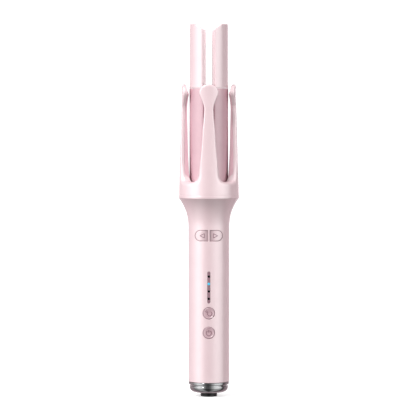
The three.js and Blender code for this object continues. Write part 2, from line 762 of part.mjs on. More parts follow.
function driveParts() {
  const slips = SLIP_RINGS.flatMap((level, i) => {
    const low = SLIP_LOW + i * SLIP_PITCH;
    const slip = ring(JOURNAL_R + GAP, SLIP_R, low, low + SLIP_HEIGHT, HIDDEN_ROUND);
    return [
      piece(`slip_ring_${level}`, "brass", slip),
      piece(`brush_${level}`, "carbon", brush(i)),
    ];
  });
  return [
    piece("motor_can", "steel", motorCan()),
    piece("motor_gearbox", "brass", motorGearbox()),
    piece("motor_bracket", "resin", motorBracket()),
    piece("motor_shaft", "steel", rod(SHAFT_R, SHAFT_LOW, SHAFT_HIGH).translate(0, MOTOR_Y, 0)),
    piece("drive_pinion", "brass", drivePinion()),
    piece("drive_ring_gear", "resin", ringGear()),
    piece("bearing_plate", "resin", bearingPlate()),
    piece("brush_holder", "resin", brushHolder()),
    ...slips,
  ];
}

// ---------------------------------------------------------------- cage

function neckRing() {
  const middle = (RIM_BOTTOM + RIM_TOP) / 2;
  const half = (RIM_TOP - RIM_BOTTOM) / 2;
  return turned([
    [LINER_INNER_R, RIM_BOTTOM],
    ...arc(RIM_R - half, middle, half, half, -Math.PI / 2, Math.PI / 2, 4),
    [LINER_INNER_R, RIM_TOP],
  ]);
}

// Four petals as seen from outside, standing on a base ring up to the windows' floor.
function petalStencil() {
  const curve = new THREE.SplineCurve(PETAL_EDGE.map(([x, z]) => new THREE.Vector2(x, z)));
  const edge = curve.getPoints(28).map((p) => [Math.max(0, p.x), p.y]);
  const foot = WINDOW_FLOOR - 2;
  const ends = [[PETAL_FOOT_HALF, foot], [-PETAL_FOOT_HALF, foot]];
  const outline = [ends[0], ...edge, ...mirrored(edge).slice(1), ends[1]];
  const petals = [];
  for (let i = 0; i < PETALS; i++) {
    petals.push(facingFront(prism(outline, HOLE_DEPTH, FAR)).rotateZ((i * 2 * Math.PI) / PETALS));
  }
  return join(rod(FAR, CAGE_BOTTOM - 1, WINDOW_FLOOR, 8), ...petals);
}

// Inner radius of the shell where it starts to thicken.
function neckInnerRadius() {
  const share = (HEAD_LOW - CAGE_BOTTOM) / (PETAL_SHOULDER - CAGE_BOTTOM);
  return CAGE_R + (CAGE_TOP_R - CAGE_R) * share - CAGE_SHELL;
}

function cageShell() {
  return turned([
    [CAGE_R - CAGE_SHELL, CAGE_BOTTOM],
    [CAGE_R, CAGE_BOTTOM],
    [CAGE_TOP_R, PETAL_SHOULDER],
    [CAGE_TOP_R, PETAL_TOP - HEAD_CHAMFER],
    [CAGE_TOP_R - HEAD_CHAMFER, PETAL_TOP + 1],
    [HEAD_INNER_R, PETAL_TOP + 1],
    [HEAD_INNER_R, HEAD_FULL],
    [neckInnerRadius(), HEAD_LOW],
  ]);
}

function linerShell() {
  return turned([
    [LINER_INNER_R, CAGE_BOTTOM],
    [CAGE_R - CAGE_SHELL - GAP, CAGE_BOTTOM],
    [neckInnerRadius() - GAP, HEAD_LOW],
    [HEAD_INNER_R - GAP, HEAD_FULL],
    [HEAD_INNER_R - GAP, LINER_TOP],
    [LINER_INNER_R, LINER_TOP],
  ]);
}

function cageParts() {
  const stencil = petalStencil();
  return [
    piece("neck_ring", "shell", neckRing()),
    piece("petal_cage", "shell", solid(cageShell()).intersect(stencil)),
    piece("cage_liner", "rose", solid(linerShell()).intersect(stencil)),
  ];
}

// ---------------------------------------------------------------- barrel

// The barrel's slot: narrowest on the axis and wider towards both mouths, grown sideways.
function slotPrism(grow, low, high) {
  const reach = BARREL_R + 6;
  const half = SLOT_HALF + grow;
  const mouth = half + ((SLOT_MOUTH_HALF - SLOT_HALF) * reach) / BARREL_R;
  const right = [
    [mouth, -reach],
    [half, 0],
    [mouth, reach],
  ];
  return prism([...right, ...mirrored(right)], low, high);
}

function barrelCarrier() {
  const spigot = BARREL_R - BARREL_WALL - GAP;
  const profile = [
    [CARRIER_BORE_R, GEAR_HIGH + GAP],
    [SPIGOT_R, GEAR_HIGH + GAP],
    [SPIGOT_R, GEAR_WEB_TOP + GAP],
    [JOURNAL_R, GEAR_WEB_TOP + GAP],
    [JOURNAL_R, FLANGE_LOW],
    [BARREL_R, FLANGE_LOW],
    [BARREL_R, BARREL_BOTTOM - GAP],
    [spigot, BARREL_BOTTOM - GAP],
    [spigot, CARRIER_TOP],
    [spigot - CARRIER_WALL, CARRIER_TOP],
    [spigot - CARRIER_WALL, CARRIER_FLOOR],
    [CARRIER_BORE_R, CARRIER_FLOOR],
  ];
  return turned(profile, HIDDEN_ROUND);
}

function heatedBarrel() {
  const top = BARREL_JOINT - GAP / 2;
  const walls = solid(rod(BARREL_R - BARREL_WALL, BARREL_BOTTOM - 1, top + 1, ROUND));
  const hollow = cut(walls, slotPrism(SLOT_WALL, SLOT_FLOOR - SLOT_WALL, top + 2));
  const tube = cut(solid(rod(BARREL_R, BARREL_BOTTOM, top, ROUND)), slotPrism(0, SLOT_FLOOR, top + 2));
  return tube.subtract(hollow);
}

// One half of the cool tip: hollow, with a tongue that plugs into the heated barrel.
function tipProng(side) {
  const bottom = BARREL_JOINT + GAP / 2;
  const inner = BARREL_R - BARREL_WALL;
  const shell = turned([
    [0, bottom],
    [BARREL_R, bottom],
    [BARREL_R, BARREL_TOP - TIP_EDGE],
    [BARREL_R - 0.3 * TIP_EDGE, BARREL_TOP - 0.3 * TIP_EDGE],
    [BARREL_R - TIP_EDGE, BARREL_TOP],
    [0, BARREL_TOP],
  ]);
  const slot = (grow) => slotPrism(grow, SLOT_FLOOR, TALL);
  const tongue = cut(solid(rod(inner - GAP, TONGUE_BOTTOM, bottom + 1, ROUND)), slot(SLOT_WALL + GAP));
  const upper = cut(solid(rod(inner, bottom + BARREL_WALL, TIP_CEILING, ROUND)), slot(SLOT_WALL));
  const throat = rod(inner - GAP - TONGUE_WALL, TONGUE_BOTTOM - 1, bottom + 2 * BARREL_WALL, ROUND);
  const lower = cut(solid(throat), slot(TONGUE_SLOT));
  const scoop = rodAlongY(SCOOP_R, 0, SCOOP_Z, -FAR, FAR, 48);
  const whole = cut(solid(shell), slot(0), scoop).add(tongue).subtract(upper).subtract(lower);
  const sideBlock = side < 0 ? [-FAR, 0] : [0, FAR];
  return whole.intersect(solid(block(sideBlock, [-FAR, FAR], [0, TALL])));
}

// Plate beside the slot; side is 1 or -1.
function heaterPlate(side) {
  const { near, far, halfWidth, low, high } = PLATE;
  const depth = side > 0 ? [near, far] : [-far, -near];
  return block(depth, [-halfWidth, halfWidth], [low, high]);
}

// Spreader that carries a plate's heat to the barrel's wall.
function heaterSpreader(side) {
  const { near, corner, radius, halfWidth, halfAngle, low, high } = SPREADER;
  const outline = [
    [near, -halfWidth],
    [corner, -halfWidth],
    ...arc(0, 0, radius, radius, -halfAngle, halfAngle, 4),
    [corner, halfWidth],
    [near, halfWidth],
  ];
  return prism(side > 0 ? outline : mirrored(outline), low, high);
}

function temperatureSensor() {
  return rod(SENSOR.radius, SENSOR.low, SENSOR.high).translate(SENSOR.x, SENSOR.y, 0);
}

function barrelParts() {
  const sides = [-1, 1].flatMap((side) => [
    piece(`tip_prong_${sideName(side)}`, "shell", tipProng(side)),
    piece(`heater_plate_${sideName(side)}`, "ceramic", heaterPlate(side)),
    piece(`heater_spreader_${sideName(side)}`, "steel", heaterSpreader(side)),
  ]);
  return [
    piece("barrel_carrier", "resin", barrelCarrier()),
    piece("heated_barrel", "rose", heatedBarrel()),
    piece("temperature_sensor", "ceramic", temperatureSensor()),
    ...sides,
  ];
}

// ---------------------------------------------------------------- whole curler

const curler = new THREE.Group();
curler.name = "automatic_hair_curler";
curler.add(
  ...housings(),
  ...controls(),
  ...electronics(),
  ...baseParts(),
  ...driveParts(),
  ...cageParts(),
  ...barrelParts(),
);

export default curler;
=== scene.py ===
"""Looks of the automatic hair curler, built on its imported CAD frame.

Lengths inside the shape functions are millimetres and become metres when an object is made.
+Z is up, the buttons face -Y, and the barrel turns about Z.
"""

import math

import bmesh
import bpy
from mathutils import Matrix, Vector


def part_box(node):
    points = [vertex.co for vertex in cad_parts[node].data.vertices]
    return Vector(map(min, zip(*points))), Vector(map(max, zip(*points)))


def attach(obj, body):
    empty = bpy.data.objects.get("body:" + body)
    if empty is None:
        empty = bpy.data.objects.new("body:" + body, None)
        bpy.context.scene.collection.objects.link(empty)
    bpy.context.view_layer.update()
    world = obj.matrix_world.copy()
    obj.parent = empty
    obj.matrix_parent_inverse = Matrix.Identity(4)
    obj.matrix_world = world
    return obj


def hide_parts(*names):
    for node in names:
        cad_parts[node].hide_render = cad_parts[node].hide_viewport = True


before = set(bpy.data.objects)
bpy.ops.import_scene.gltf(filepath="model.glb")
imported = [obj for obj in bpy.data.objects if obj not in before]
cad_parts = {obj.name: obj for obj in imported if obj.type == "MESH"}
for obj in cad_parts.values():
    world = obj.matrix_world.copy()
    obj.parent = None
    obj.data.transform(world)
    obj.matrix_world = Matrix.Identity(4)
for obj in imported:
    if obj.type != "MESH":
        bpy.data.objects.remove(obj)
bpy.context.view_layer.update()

MM = 0.001
TAU = 2 * math.pi


def span(node):
    """Lowest and highest corner of a CAD node, in millimetres."""
    low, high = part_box(node)
    return low / MM, high / MM


def middle(node):
    """Centre of a CAD node's box, in millimetres."""
    return [(low + high) / 2 for low, high in zip(*span(node))]


# ---- sizes read from the frame

HOUSING_LOW = span("front_housing")[0].z
HOUSING_HIGH = span("front_housing")[1].z
CAGE_LOW = span("petal_cage")[0].z
CAGE_R = span("petal_cage")[1].x
PETAL_TOP = span("petal_cage")[1].z
RIM_LOW = span("neck_ring")[0].z
RIM_R = span("neck_ring")[1].x
BARREL_LOW = span("heated_barrel")[0].z
BARREL_JOINT = span("heated_barrel")[1].z
BARREL_R = span("heated_barrel")[1].x
TIP_TOP = span("tip_prong_left")[1].z
PIN_GAP = 0.3  # gap between neighbouring pieces

HANDLE_R = 17.1
WALL = 2.2
FLARE_LOW = 139.0
FLARE_POWER = 2.5
FINE = 192  # sides of a large round piece
QUARTER = [math.radians(15 * k) for k in range(7)]  # turns for the rows of a rounded edge
SIDES = ((-1, "left"), (1, "right"))
SEAM_DEPTH = 0.6  # depth of the groove between the two housing shells
FILLER_HALF = 0.14  # half the filler's thickness


# ---- mesh helpers


class Shape:
    """Points and faces of one mesh, gathered row by row."""

    def __init__(self):
        self.points = []
        self.faces = []

    def row(self, points):
        start = len(self.points)
        self.points.extend(Vector(p) for p in points)
        return list(range(start, len(self.points)))

    def bridge(self, a, b, closed=True):
        """Quads, or a fan where one row is a single point, between two rows."""
        count = max(len(a), len(b))
        last = count if closed else count - 1
        for i in range(last):
            j = (i + 1) % count
            if len(a) == 1:
                self.faces.append((a[0], b[j], b[i]))
            elif len(b) == 1:
                self.faces.append((a[i], a[j], b[0]))
            else:
                self.faces.append((a[i], a[j], b[j], b[i]))

    def rows(self, rows, closed=True):
        for a, b in zip(rows, rows[1:]):
            self.bridge(a, b, closed)

    def cap(self, row):
        self.faces.append(tuple(row))

    def mesh(self, name):
        data = bpy.data.meshes.new(name)
        data.from_pydata([p * MM for p in self.points], [], self.faces)
        work = bmesh.new()
        work.from_mesh(data)
        bmesh.ops.remove_doubles(work, verts=work.verts, dist=1e-7)
        bmesh.ops.recalc_face_normals(work, faces=work.faces)
        work.to_mesh(data)
        work.free()
        data.validate()
        return data


def placed(name, data):
    """A new object in the scene."""
    made = bpy.data.objects.new(name, data)
    bpy.context.scene.collection.objects.link(made)
    return made


def dress(data, material):
    data.materials.clear()
    data.materials.append(material)


def piece(name, shape, material, body, slot, *nodes, degrees=35):
    """A finished piece: rides on its body and stands for the CAD nodes named.

    Its shading is smooth, except at edges sharper than the angle in degrees.
    """
    data = shape if isinstance(shape, bpy.types.Mesh) else shape.mesh(name)
    data.shade_smooth()
    data.set_sharp_from_angle(angle=math.radians(degrees))
    dress(data, material)
    made = placed(name, data)
    keep = made.modifiers.new("even_normals", "WEIGHTED_NORMAL")
    keep.keep_sharp = True
    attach(made, body)
    if nodes:
        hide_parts(*nodes)


def filleted(corners, closed=True, steps=6):
    """An outline from corners given as (x, y, radius), each rounded to its radius."""
    out = []
    last = len(corners) - 1
    for i, (x, y, radius) in enumerate(corners):
        here = Vector((x, y))
        if radius == 0 or (not closed and i in (0, last)):
            out.append((x, y))
            continue
        back = (Vector(corners[i - 1][:2]) - here).normalized()
        ahead = (Vector(corners[(i + 1) % len(corners)][:2]) - here).normalized()
        half = back.angle(ahead) / 2
        centre = here + (back + ahead).normalized() * (radius / math.sin(half))
        first = here + back * (radius / math.tan(half)) - centre
        final = here + ahead * (radius / math.tan(half)) - centre
        for k in range(steps + 1):
            spoke = first.slerp(final, k / steps)
            out.append(tuple(centre + spoke.normalized() * radius))
    return out


def on_circle(radius, z, start, sweep, count):
    """Points along an arc; a full circle doesn't repeat its first point."""
    turns = [start + sweep * i / count for i in range(count if sweep == TAU else count + 1)]
    return [(radius * math.cos(turn), radius * math.sin(turn), z) for turn in turns]


def turned(profile, sides=FINE, closed=True):
    """A profile of (radius, z) points turned about Z; closed joins its last point to its first."""
    shape = Shape()
    rows = []
    for radius, z in profile:
        if radius < 1e-6:
            rows.append(shape.row([(0, 0, z)]))
        else:
            rows.append(shape.row(on_circle(radius, z, 0, TAU, sides)))
    if closed:
        rows.append(rows[0])
    shape.rows(rows)
    return shape


def half_turned(outer, inner, front, sides=FINE // 2):
    """Half of a thick shell between two profiles with as many points, cut along the X axis."""
    shape = Shape()
    start = math.pi if front else 0
    profile = list(outer) + list(reversed(inner))
    shift = PIN_GAP / 2
    rows = []
    for radius, z in profile:
        edge = math.asin(shift / radius)
        rows.append(shape.row(on_circle(radius, z, start + edge, math.pi - 2 * edge, sides)))
    rows.append(rows[0])
    shape.rows(rows, closed=False)
    count = len(outer)
    for end in (0, -1):
        for i in range(count - 1):
            a, b = rows[i][end], rows[i + 1][end]
            c, d = rows[2 * count - 2 - i][end], rows[2 * count - 1 - i][end]
            shape.faces.append((a, b, c, d))
    return shape


def prism(outline, low, high, place):
    """A closed outline carried from one depth to another; place turns (x, y, depth) into a point."""
    shape = Shape()
    bottom = shape.row([place(x, y, low) for x, y in outline])
    top = shape.row([place(x, y, high) for x, y in outline])
    shape.bridge(bottom, top)
    shape.cap(bottom)
    shape.cap(top)
    return shape


def cut_with(data, cutters):
    """The mesh with each cutter's volume taken away."""
    target = placed("cut_target", data)
    tools = [placed("cutter", cutter.mesh("cutter")) for cutter in cutters]
    for tool in tools:
        cut = target.modifiers.new("cut", "BOOLEAN")
        cut.operation = "DIFFERENCE"
        cut.solver = "EXACT"
        cut.object = tool
    depsgraph = bpy.context.evaluated_depsgraph_get()
    result = bpy.data.meshes.new_from_object(target.evaluated_get(depsgraph))
    for used in [target, *tools]:
        bpy.data.objects.remove(used)
    return result


# ---- materials


class Tree:
    """The shader nodes of a material or of the world."""

    def __init__(self, owner):
        owner.use_nodes = True
        self.owner = owner
        self.nodes = owner.node_tree.nodes

    def feed(self, socket, value):
        """Gives a socket a plain value, or links another node's output to it."""
        if isinstance(value, bpy.types.NodeSocket):
            self.owner.node_tree.links.new(value, socket)
        else:
            socket.default_value = value

    def add(self, kind, inputs, **settings):
        """Outputs of a new node, whose inputs are given by name or number."""
        node = self.nodes.new(f"ShaderNode{kind}")
        for name, value in settings.items():
            setattr(node, name, value)
        for name, value in inputs.items():
            self.feed(node.inputs[name], value)
        return node.outputs

    def calc(self, operation, *values):
        return self.add("Math", dict(enumerate(values)), operation=operation)[0]

    def mix(self, first, second, factor=1.0, kind="MIX"):
        """Two colours mixed, multiplied or added."""
        inputs = {"Factor": factor, "A": first, "B": second}
        return self.add("Mix", inputs, data_type="RGBA", blend_type=kind)["Result"]

    def ranged(self, value, low, high, to=(0.0, 1.0), kind="LINEAR"):
        """A value carried from one range to another, and held at its ends."""
        inputs = {"Value": value, "From Min": low, "From Max": high, "To Min": to[0], "To Max": to[1]}
        return self.add("MapRange", inputs, interpolation_type=kind)["Result"]


class Look(Tree):
    """A Principled material that is built node by node."""

    def __init__(self, name, **values):
        self.material = bpy.data.materials.new(name)
        super().__init__(self.material)
        self.shader = self.nodes["Principled BSDF"].inputs
        self.place = self.add("TexCoord", {})["Object"]
        for socket, value in values.items():
            self.shader[socket.replace("_", " ")].default_value = value

    def noise(self, size_mm, detail=3.0, stretch=(1, 1, 1)):
        """Noise with features of about this size, drawn out along an axis by stretch."""
        scaled = self.add("Mapping", {"Vector": self.place, "Scale": [1 / s for s in stretch]})
        inputs = {"Vector": scaled["Vector"], "Scale": 1 / (size_mm * MM), "Detail": detail}
        return self.add("TexNoise", inputs)["Fac"]

    def spread(self, source, low, high):
        """A value that runs from low to high as the noise runs over its usual middle range."""
        return self.ranged(source, 0.3, 0.7, (low, high))

    def tint(self, source, first, second):
        """Base colour that drifts between two close colours."""
        colour = self.mix((*first, 1), (*second, 1), self.spread(source, 0, 1))
        self.feed(self.shader["Base Color"], colour)

    def rough(self, source, low, high):
        self.feed(self.shader["Roughness"], self.spread(source, low, high))

    def bump(self, source, height_mm):
        bump = self.add("Bump", {"Strength": 1.0, "Distance": height_mm * MM, "Height": source})
        self.feed(self.shader["Normal"], bump["Normal"])


PEARL = {"Coat_Roughness": 0.24, "Coat_IOR": 1.85, "IOR": 2.3}


def pearl_plastic(name, first, second, roughness, coat=0.0):
    """Satin moulded plastic: a faint cloud in the colour, fine texture in the gloss."""
    look = Look(name, Coat_Weight=coat, **PEARL)
    look.tint(look.noise(9, 2), first, second)
    look.rough(look.noise(0.35), roughness - 0.03, roughness + 0.03)
    look.bump(look.noise(0.25), 0.0012)
    return look.material


def bare_metal(name, first, second, roughness, grain=(1, 1, 1)):
    look = Look(name, Metallic=1.0)
    look.tint(look.noise(3, 2), first, second)
    look.rough(look.noise(0.4, 3, grain), max(0.02, roughness - 0.03), roughness + 0.03)
    look.bump(look.noise(0.2, 2, grain), 0.0004)
    return look.material


def moulded(name, first, second, roughness, grain_mm=0.3, height_mm=0.004):
    look = Look(name)
    look.tint(look.noise(2.5, 3), first, second)
    look.rough(look.noise(grain_mm), roughness - 0.05, roughness + 0.05)
    look.bump(look.noise(grain_mm), height_mm)
    return look.material


def smoked(name):
    look = Look(name, Transmission_Weight=0.25, IOR=1.49, Coat_Weight=0.3, Coat_Roughness=0.1)
    look.tint(look.noise(3, 2), (0.36, 0.21, 0.25), (0.4, 0.25, 0.29))
    look.rough(look.noise(0.3), 0.18, 0.26)
    return look.material


def lens(name, colour, glow):
    look = Look(name, Emission_Strength=glow, Emission_Color=(*colour, 1), IOR=1.49)
    look.tint(look.noise(0.8), colour, [c * 0.9 for c in colour])
    look.rough(look.noise(0.2), 0.12, 0.2)
    return look.material


def button_with_painted_shade(name, outer, inner):
    """Pale button plastic with painted shade: its colour darkens from the outer to the inner colour
    towards the divider between the two turn buttons.
    """
    look = Look(name, Coat_Weight=0.8, **PEARL)
    axes = look.add("SeparateXYZ", {"Vector": look.place})
    distance = look.calc("ABSOLUTE", axes["X"])
    clouded = look.calc("MULTIPLY_ADD", look.noise(4, 2), 0.6 * MM, distance)
    # Painted shade: the colour darkens within about 6 mm of the divider, where the sunk face lies in
    # shade.
    share = look.ranged(clouded, 1.0 * MM, 6.0 * MM, kind="SMOOTHSTEP")
    look.feed(look.shader["Base Color"], look.mix((*inner, 1), (*outer, 1), share))
    look.rough(look.noise(0.35), 0.42, 0.48)
    look.bump(look.noise(0.25), 0.0012)
    return look.material


def circuit_board(name):
    """Green lacquer over darker copper-free laminate, with a fine weave."""
    look = Look(name, Coat_Weight=0.4)
    look.tint(look.noise(1.2, 4, (1, 1, 3)), (0.02, 0.13, 0.06), (0.035, 0.2, 0.1))
    look.rough(look.noise(0.4), 0.3, 0.5)
    look.bump(look.noise(0.3), 0.003)
    return look.material


PINKS = ((0.785, 0.58, 0.61), (0.805, 0.60, 0.63))
SHELL = pearl_plastic("pearl_pink", *PINKS, 0.5, 1.0)
RIM = pearl_plastic("pearl_pink_rim", *PINKS, 0.45, 1.0)
ROSE = pearl_plastic("rose_coat", (0.59, 0.33, 0.385), (0.62, 0.355, 0.41), 0.5, 0.35)
LINER = pearl_plastic("rose_liner", (0.78, 0.45, 0.52), (0.81, 0.48, 0.55), 0.34, 0.2)
BUTTON = pearl_plastic("mauve_button", (0.49, 0.30, 0.34), (0.52, 0.33, 0.37), 0.45, 0.5)
# The second colour is painted shade on the turn buttons next to the divider.
TURN_BUTTON = button_with_painted_shade("pale_button_painted_shade", (0.74, 0.55, 0.58), (0.44, 0.29, 0.32))
# Dark ink of the printed signs, also used as painted shadow in the lines round the buttons.
INK_AND_SHADOW = moulded("icon_ink_and_painted_shadow", (0.23, 0.12, 0.15), (0.27, 0.15, 0.18), 0.5, 0.2, 0.001)
CHROME = bare_metal("chrome", (0.40, 0.403, 0.408), (0.42, 0.423, 0.428), 0.12)
BLACK = moulded("black_moulding", (0.012, 0.012, 0.013), (0.02, 0.02, 0.021), 0.35)
SMOKE = smoked("smoked_window")
LENS_OFF = lens("lens_off", (0.006, 0.006, 0.008), 0.0)
LENS_ON = lens("lens_on", (0.07, 0.48, 0.7), 0.25)
STEEL = bare_metal("plated_steel", (0.5, 0.51, 0.52), (0.56, 0.57, 0.58), 0.3)
SPREADER = bare_metal("extruded_aluminium", (0.6, 0.61, 0.62), (0.68, 0.69, 0.7), 0.38, (1, 1, 12))
BRASS = bare_metal("brass", (0.72, 0.52, 0.22), (0.78, 0.58, 0.27), 0.28)
RESIN = moulded("filled_nylon", (0.7, 0.66, 0.57), (0.76, 0.72, 0.63), 0.55)
CERAMIC = moulded("ceramic", (0.8, 0.79, 0.75), (0.86, 0.85, 0.81), 0.7, 0.15, 0.006)
CARBON = moulded("carbon", (0.02, 0.02, 0.021), (0.04, 0.04, 0.042), 0.75, 0.12, 0.006)
BOARD = circuit_board("circuit_board")


# ---- handle


def flare_radius(z):
    """Outer radius of the handle: straight, then flared to just inside the neck ring's edge."""
    share = max(0.0, (z - FLARE_LOW) / (HOUSING_HIGH - FLARE_LOW))
    return HANDLE_R + (RIM_R - 0.1 - HANDLE_R) * share**FLARE_POWER


def housing_profiles():
    """Outer and inner profile of the shell, point for point."""
    edge = 0.35
    outer = []
    for k in range(5):
        turn = math.radians(90 * k / 4)
        fall = edge * (1 - math.sin(turn))
        outer.append((HANDLE_R - fall, HOUSING_LOW + edge * (1 - math.cos(turn))))
    start = outer[-1][1]
    straight_rows, flare_rows = 42, 26
    for k in range(1, straight_rows + 1):
        outer.append((HANDLE_R, start + (FLARE_LOW - start) * k / straight_rows))
    for k in range(1, flare_rows + 1):
        z = FLARE_LOW + (HOUSING_HIGH - FLARE_LOW) * k / flare_rows
        outer.append((flare_radius(z), z))
    inner = [(min(r, HANDLE_R) - WALL if z < FLARE_LOW else r - WALL, z) for r, z in outer]
    return outer, inner


def to_front(x, z, depth):
    """A point of an outline seen from the front, carried this far towards -Y."""
    return (x, -depth, z)


def to_back(x, z, depth):
    """The same from behind."""
    return (-x, depth, z)


def circle(radius, z, count=64):
    turns = [TAU * k / count for k in range(count)]
    return [(radius * math.cos(turn), z + radius * math.sin(turn)) for turn in turns]


def skin_depth(x, proud=0.0):
    """How far in front of the axis the handle's surface is, at this x."""
    return math.sqrt((HANDLE_R + proud) ** 2 - x * x)


def lip(outline, place, depth):
    """Rounded lip of a hole through the shell; outline(grow) is the hole's edge, grown by that much."""
    section = [(LIP * (1 - math.sin(turn)), LIP * (1 - math.cos(turn))) for turn in QUARTER]
    section += [(0.0, depth), (LIP, depth)]
    shape = Shape()
    rows = []
    for grow, sunk in section:
        points = outline(grow)
        rows.append(shape.row([place(x, z, skin_depth(x) - sunk) for x, z in points]))
    rows.append(rows[0])
    shape.rows(rows)
    return shape


# ---- controls

TURN_Z = middle("turn_right_button")[2]
TURN_SPLIT = 0.85  # half the divider between the two turn buttons
TURN_HALF_LENGTH = 11.2
TURN_HALF_HEIGHT = 4.25
PROUD = 0.25  # height of the buttons' faces above the shell
ROUND_R = 4.65
LIP = 0.2  # rounding of the holes' edges
LINE = 0.38  # dark line round a button: the gap, with a strip of painted shadow in it
WINDOW_LINE = 0.12
WINDOW_SUNK = 0.12
CAP_HEIGHT = 3.4  # of a button's cap and of a lamp's lens
SHELL_CUT = (8, 30)  # depths between which the holes' cutters run
ROUND_Z = {name: middle(f"{name}_button")[2] for name in ("temperature", "power")}
PANE_LEDGE = 1.5  # part of the window that lies behind the shell at each end
PANE_LOW = span("indicator_window")[0].z + PANE_LEDGE
PANE_HIGH = span("indicator_window")[1].z - PANE_LEDGE
PANE_HALF = 1.15


def turn_outline(side, grow):
    """Half of the turn buttons' pill; side is 1 for right and -1 for left."""
    radius = TURN_HALF_HEIGHT + grow
    centre = TURN_HALF_LENGTH - TURN_HALF_HEIGHT
    flat = TURN_SPLIT - (grow * 0.3 if grow > 0 else grow)
    long, arc, short = 9, 32, 8  # steps along each part
    points = [(flat + (centre - flat) * k / long, -radius) for k in range(long)]
    for k in range(arc + 1):
        turn = math.pi * (k / arc - 0.5)
        points.append((centre + radius * math.cos(turn), radius * math.sin(turn)))
    points += [(centre + (flat - centre) * k / long, radius) for k in range(1, long + 1)]
    points += [(flat, radius - 2 * radius * k / short) for k in range(1, short)]
    return [(side * x, TURN_Z + z) for x, z in points]


def pane_outline(grow):
    radius = PANE_HALF + grow
    points = []
    for z, start in ((PANE_HIGH - PANE_HALF, 0), (PANE_LOW + PANE_HALF, math.pi)):
        for k in range(13):
            turn = start + math.pi * k / 12
            points.append((radius * math.cos(turn), z + radius * math.sin(turn)))
    return points


def holes():
    """Outline of each hole in the front housing, as a function of how far it is grown."""
    found = [lambda grow, side=side: turn_outline(side, LINE + grow) for side, _ in SIDES]
    found += [lambda grow, z=z: circle(ROUND_R + LINE + grow, z) for z in ROUND_Z.values()]
    found.append(lambda grow: pane_outline(WINDOW_LINE + grow))
    return found


def merged(name, meshes):
    """Several meshes as one."""
    work = bmesh.new()
    for data in meshes:
        work.from_mesh(data)
    result = bpy.data.meshes.new(name)
    work.to_mesh(result)
    work.free()
    return result


def front_housing():
    shell = half_turned(*housing_profiles(), front=True).mesh("front_shell")
    cutters = [prism(hole(LIP), *SHELL_CUT, to_front) for hole in holes()]
    lips = [lip(hole, to_front, 2.5).mesh("lip") for hole in holes()]
    data = merged("front_shell", [cut_with(shell, cutters), *lips])
    piece("front_shell", data, SHELL, "handle", "shell", "front_housing")


def seam_filler(side):
    """Strip that fills the seam between the two shells, a little below their surface."""
    outer, inner = housing_profiles()
    shape = Shape()
    rows = []
    for (outer_r, z), (inner_r, _) in zip(outer, inner):
        near, far = inner_r + 0.2, outer_r - SEAM_DEPTH
        corners = [(near, -FILLER_HALF), (far, -FILLER_HALF), (far, FILLER_HALF), (near, FILLER_HALF)]
        rows.append(shape.row([(side * r, y, z) for r, y in corners]))
    shape.rows(rows)
    shape.cap(rows[0])
    shape.cap(rows[-1])
    return shape.mesh("seam_filler")


def rear_housing():
    shell = half_turned(*housing_profiles(), front=False).mesh("rear_shell")
    cutters = []
    lips = [seam_filler(side) for side, _ in SIDES]
    for _, name in SIDES:
        low, high = span(f"housing_screw_{name}")
        x, _, z = middle(f"housing_screw_{name}")
        radius = (high.z - low.z) / 2 + PIN_GAP

        def hole(grow, x=x, z=z, radius=radius):
            return [(px - x, pz) for px, pz in circle(radius + grow, z)]

        cutters.append(prism(hole(LIP), *SHELL_CUT, to_back))
        lips.append(lip(hole, to_back, 3.2).mesh("lip"))
    data = merged("rear_shell", [cut_with(shell, cutters), *lips])
    piece("rear_shell", data, SHELL, "handle", "shell", "rear_housing")


def screws():
    """Pan-head screws with a cross recess, deep in their holes."""
    for _, name in SIDES:
        low, high = span(f"housing_screw_{name}")
        x, _, z = middle(f"housing_screw_{name}")
        radius = (high.z - low.z) / 2
        seat = high.y - 1.5
        corners = [(0, low.y, 0), (1, low.y + 1, 0), (1, seat, 0), (radius, seat, 0.15)]
        corners += [(radius, high.y, 0.8), (0, high.y, 0)]
        body = turned(filleted(corners, closed=False), 32, closed=False)
        body.points = [Vector((x + p.x, p.z, z - p.y)) for p in body.points]
        bars = []
        for wide, tall in ((1.25, 0.28), (0.28, 1.25)):
            bar = [(x + wide * a, z + tall * b) for a, b in ((-1, -1), (1, -1), (1, 1), (-1, 1))]
            bars.append(prism(bar, high.y - 0.8, high.y + 1, lambda px, pz, depth: (px, depth, pz)))
        data = cut_with(body.mesh("screw"), bars)
        piece(f"screw_{name}", data, STEEL, "handle", "steel", f"housing_screw_{name}")


# ---- button faces


def ease(value, low, high):
    t = min(1.0, max(0.0, (value - low) / (high - low)))
    return t * t * (3 - 2 * t)


def turn_sink(x):
    """How far a turn button's face is sunk at this x, most next to the divider."""
    return 1.1 * (1 - ease(abs(x), -1.0, 8.0))


def turn_face(x, z):
    """Depth, towards the front, of a turn button's face: flush outside, sunk next to the divider."""
    return skin_depth(x, PROUD) - turn_sink(x)


def round_face(centre):
    """Face of a round button: a raised rim, a fine groove, then a shallow dish."""

    def depth(x, z):
        share = math.hypot(x, z - centre) / ROUND_R
        groove = 0.16 * math.exp(-(((share - 0.78) / 0.05) ** 2))
        dish = 0.3 * (1 - ease(share, 0.0, 0.78)) + 0.22 * (1 - ease(share, 0.74, 0.84))
        return skin_depth(x, PROUD) - dish - groove

    return depth


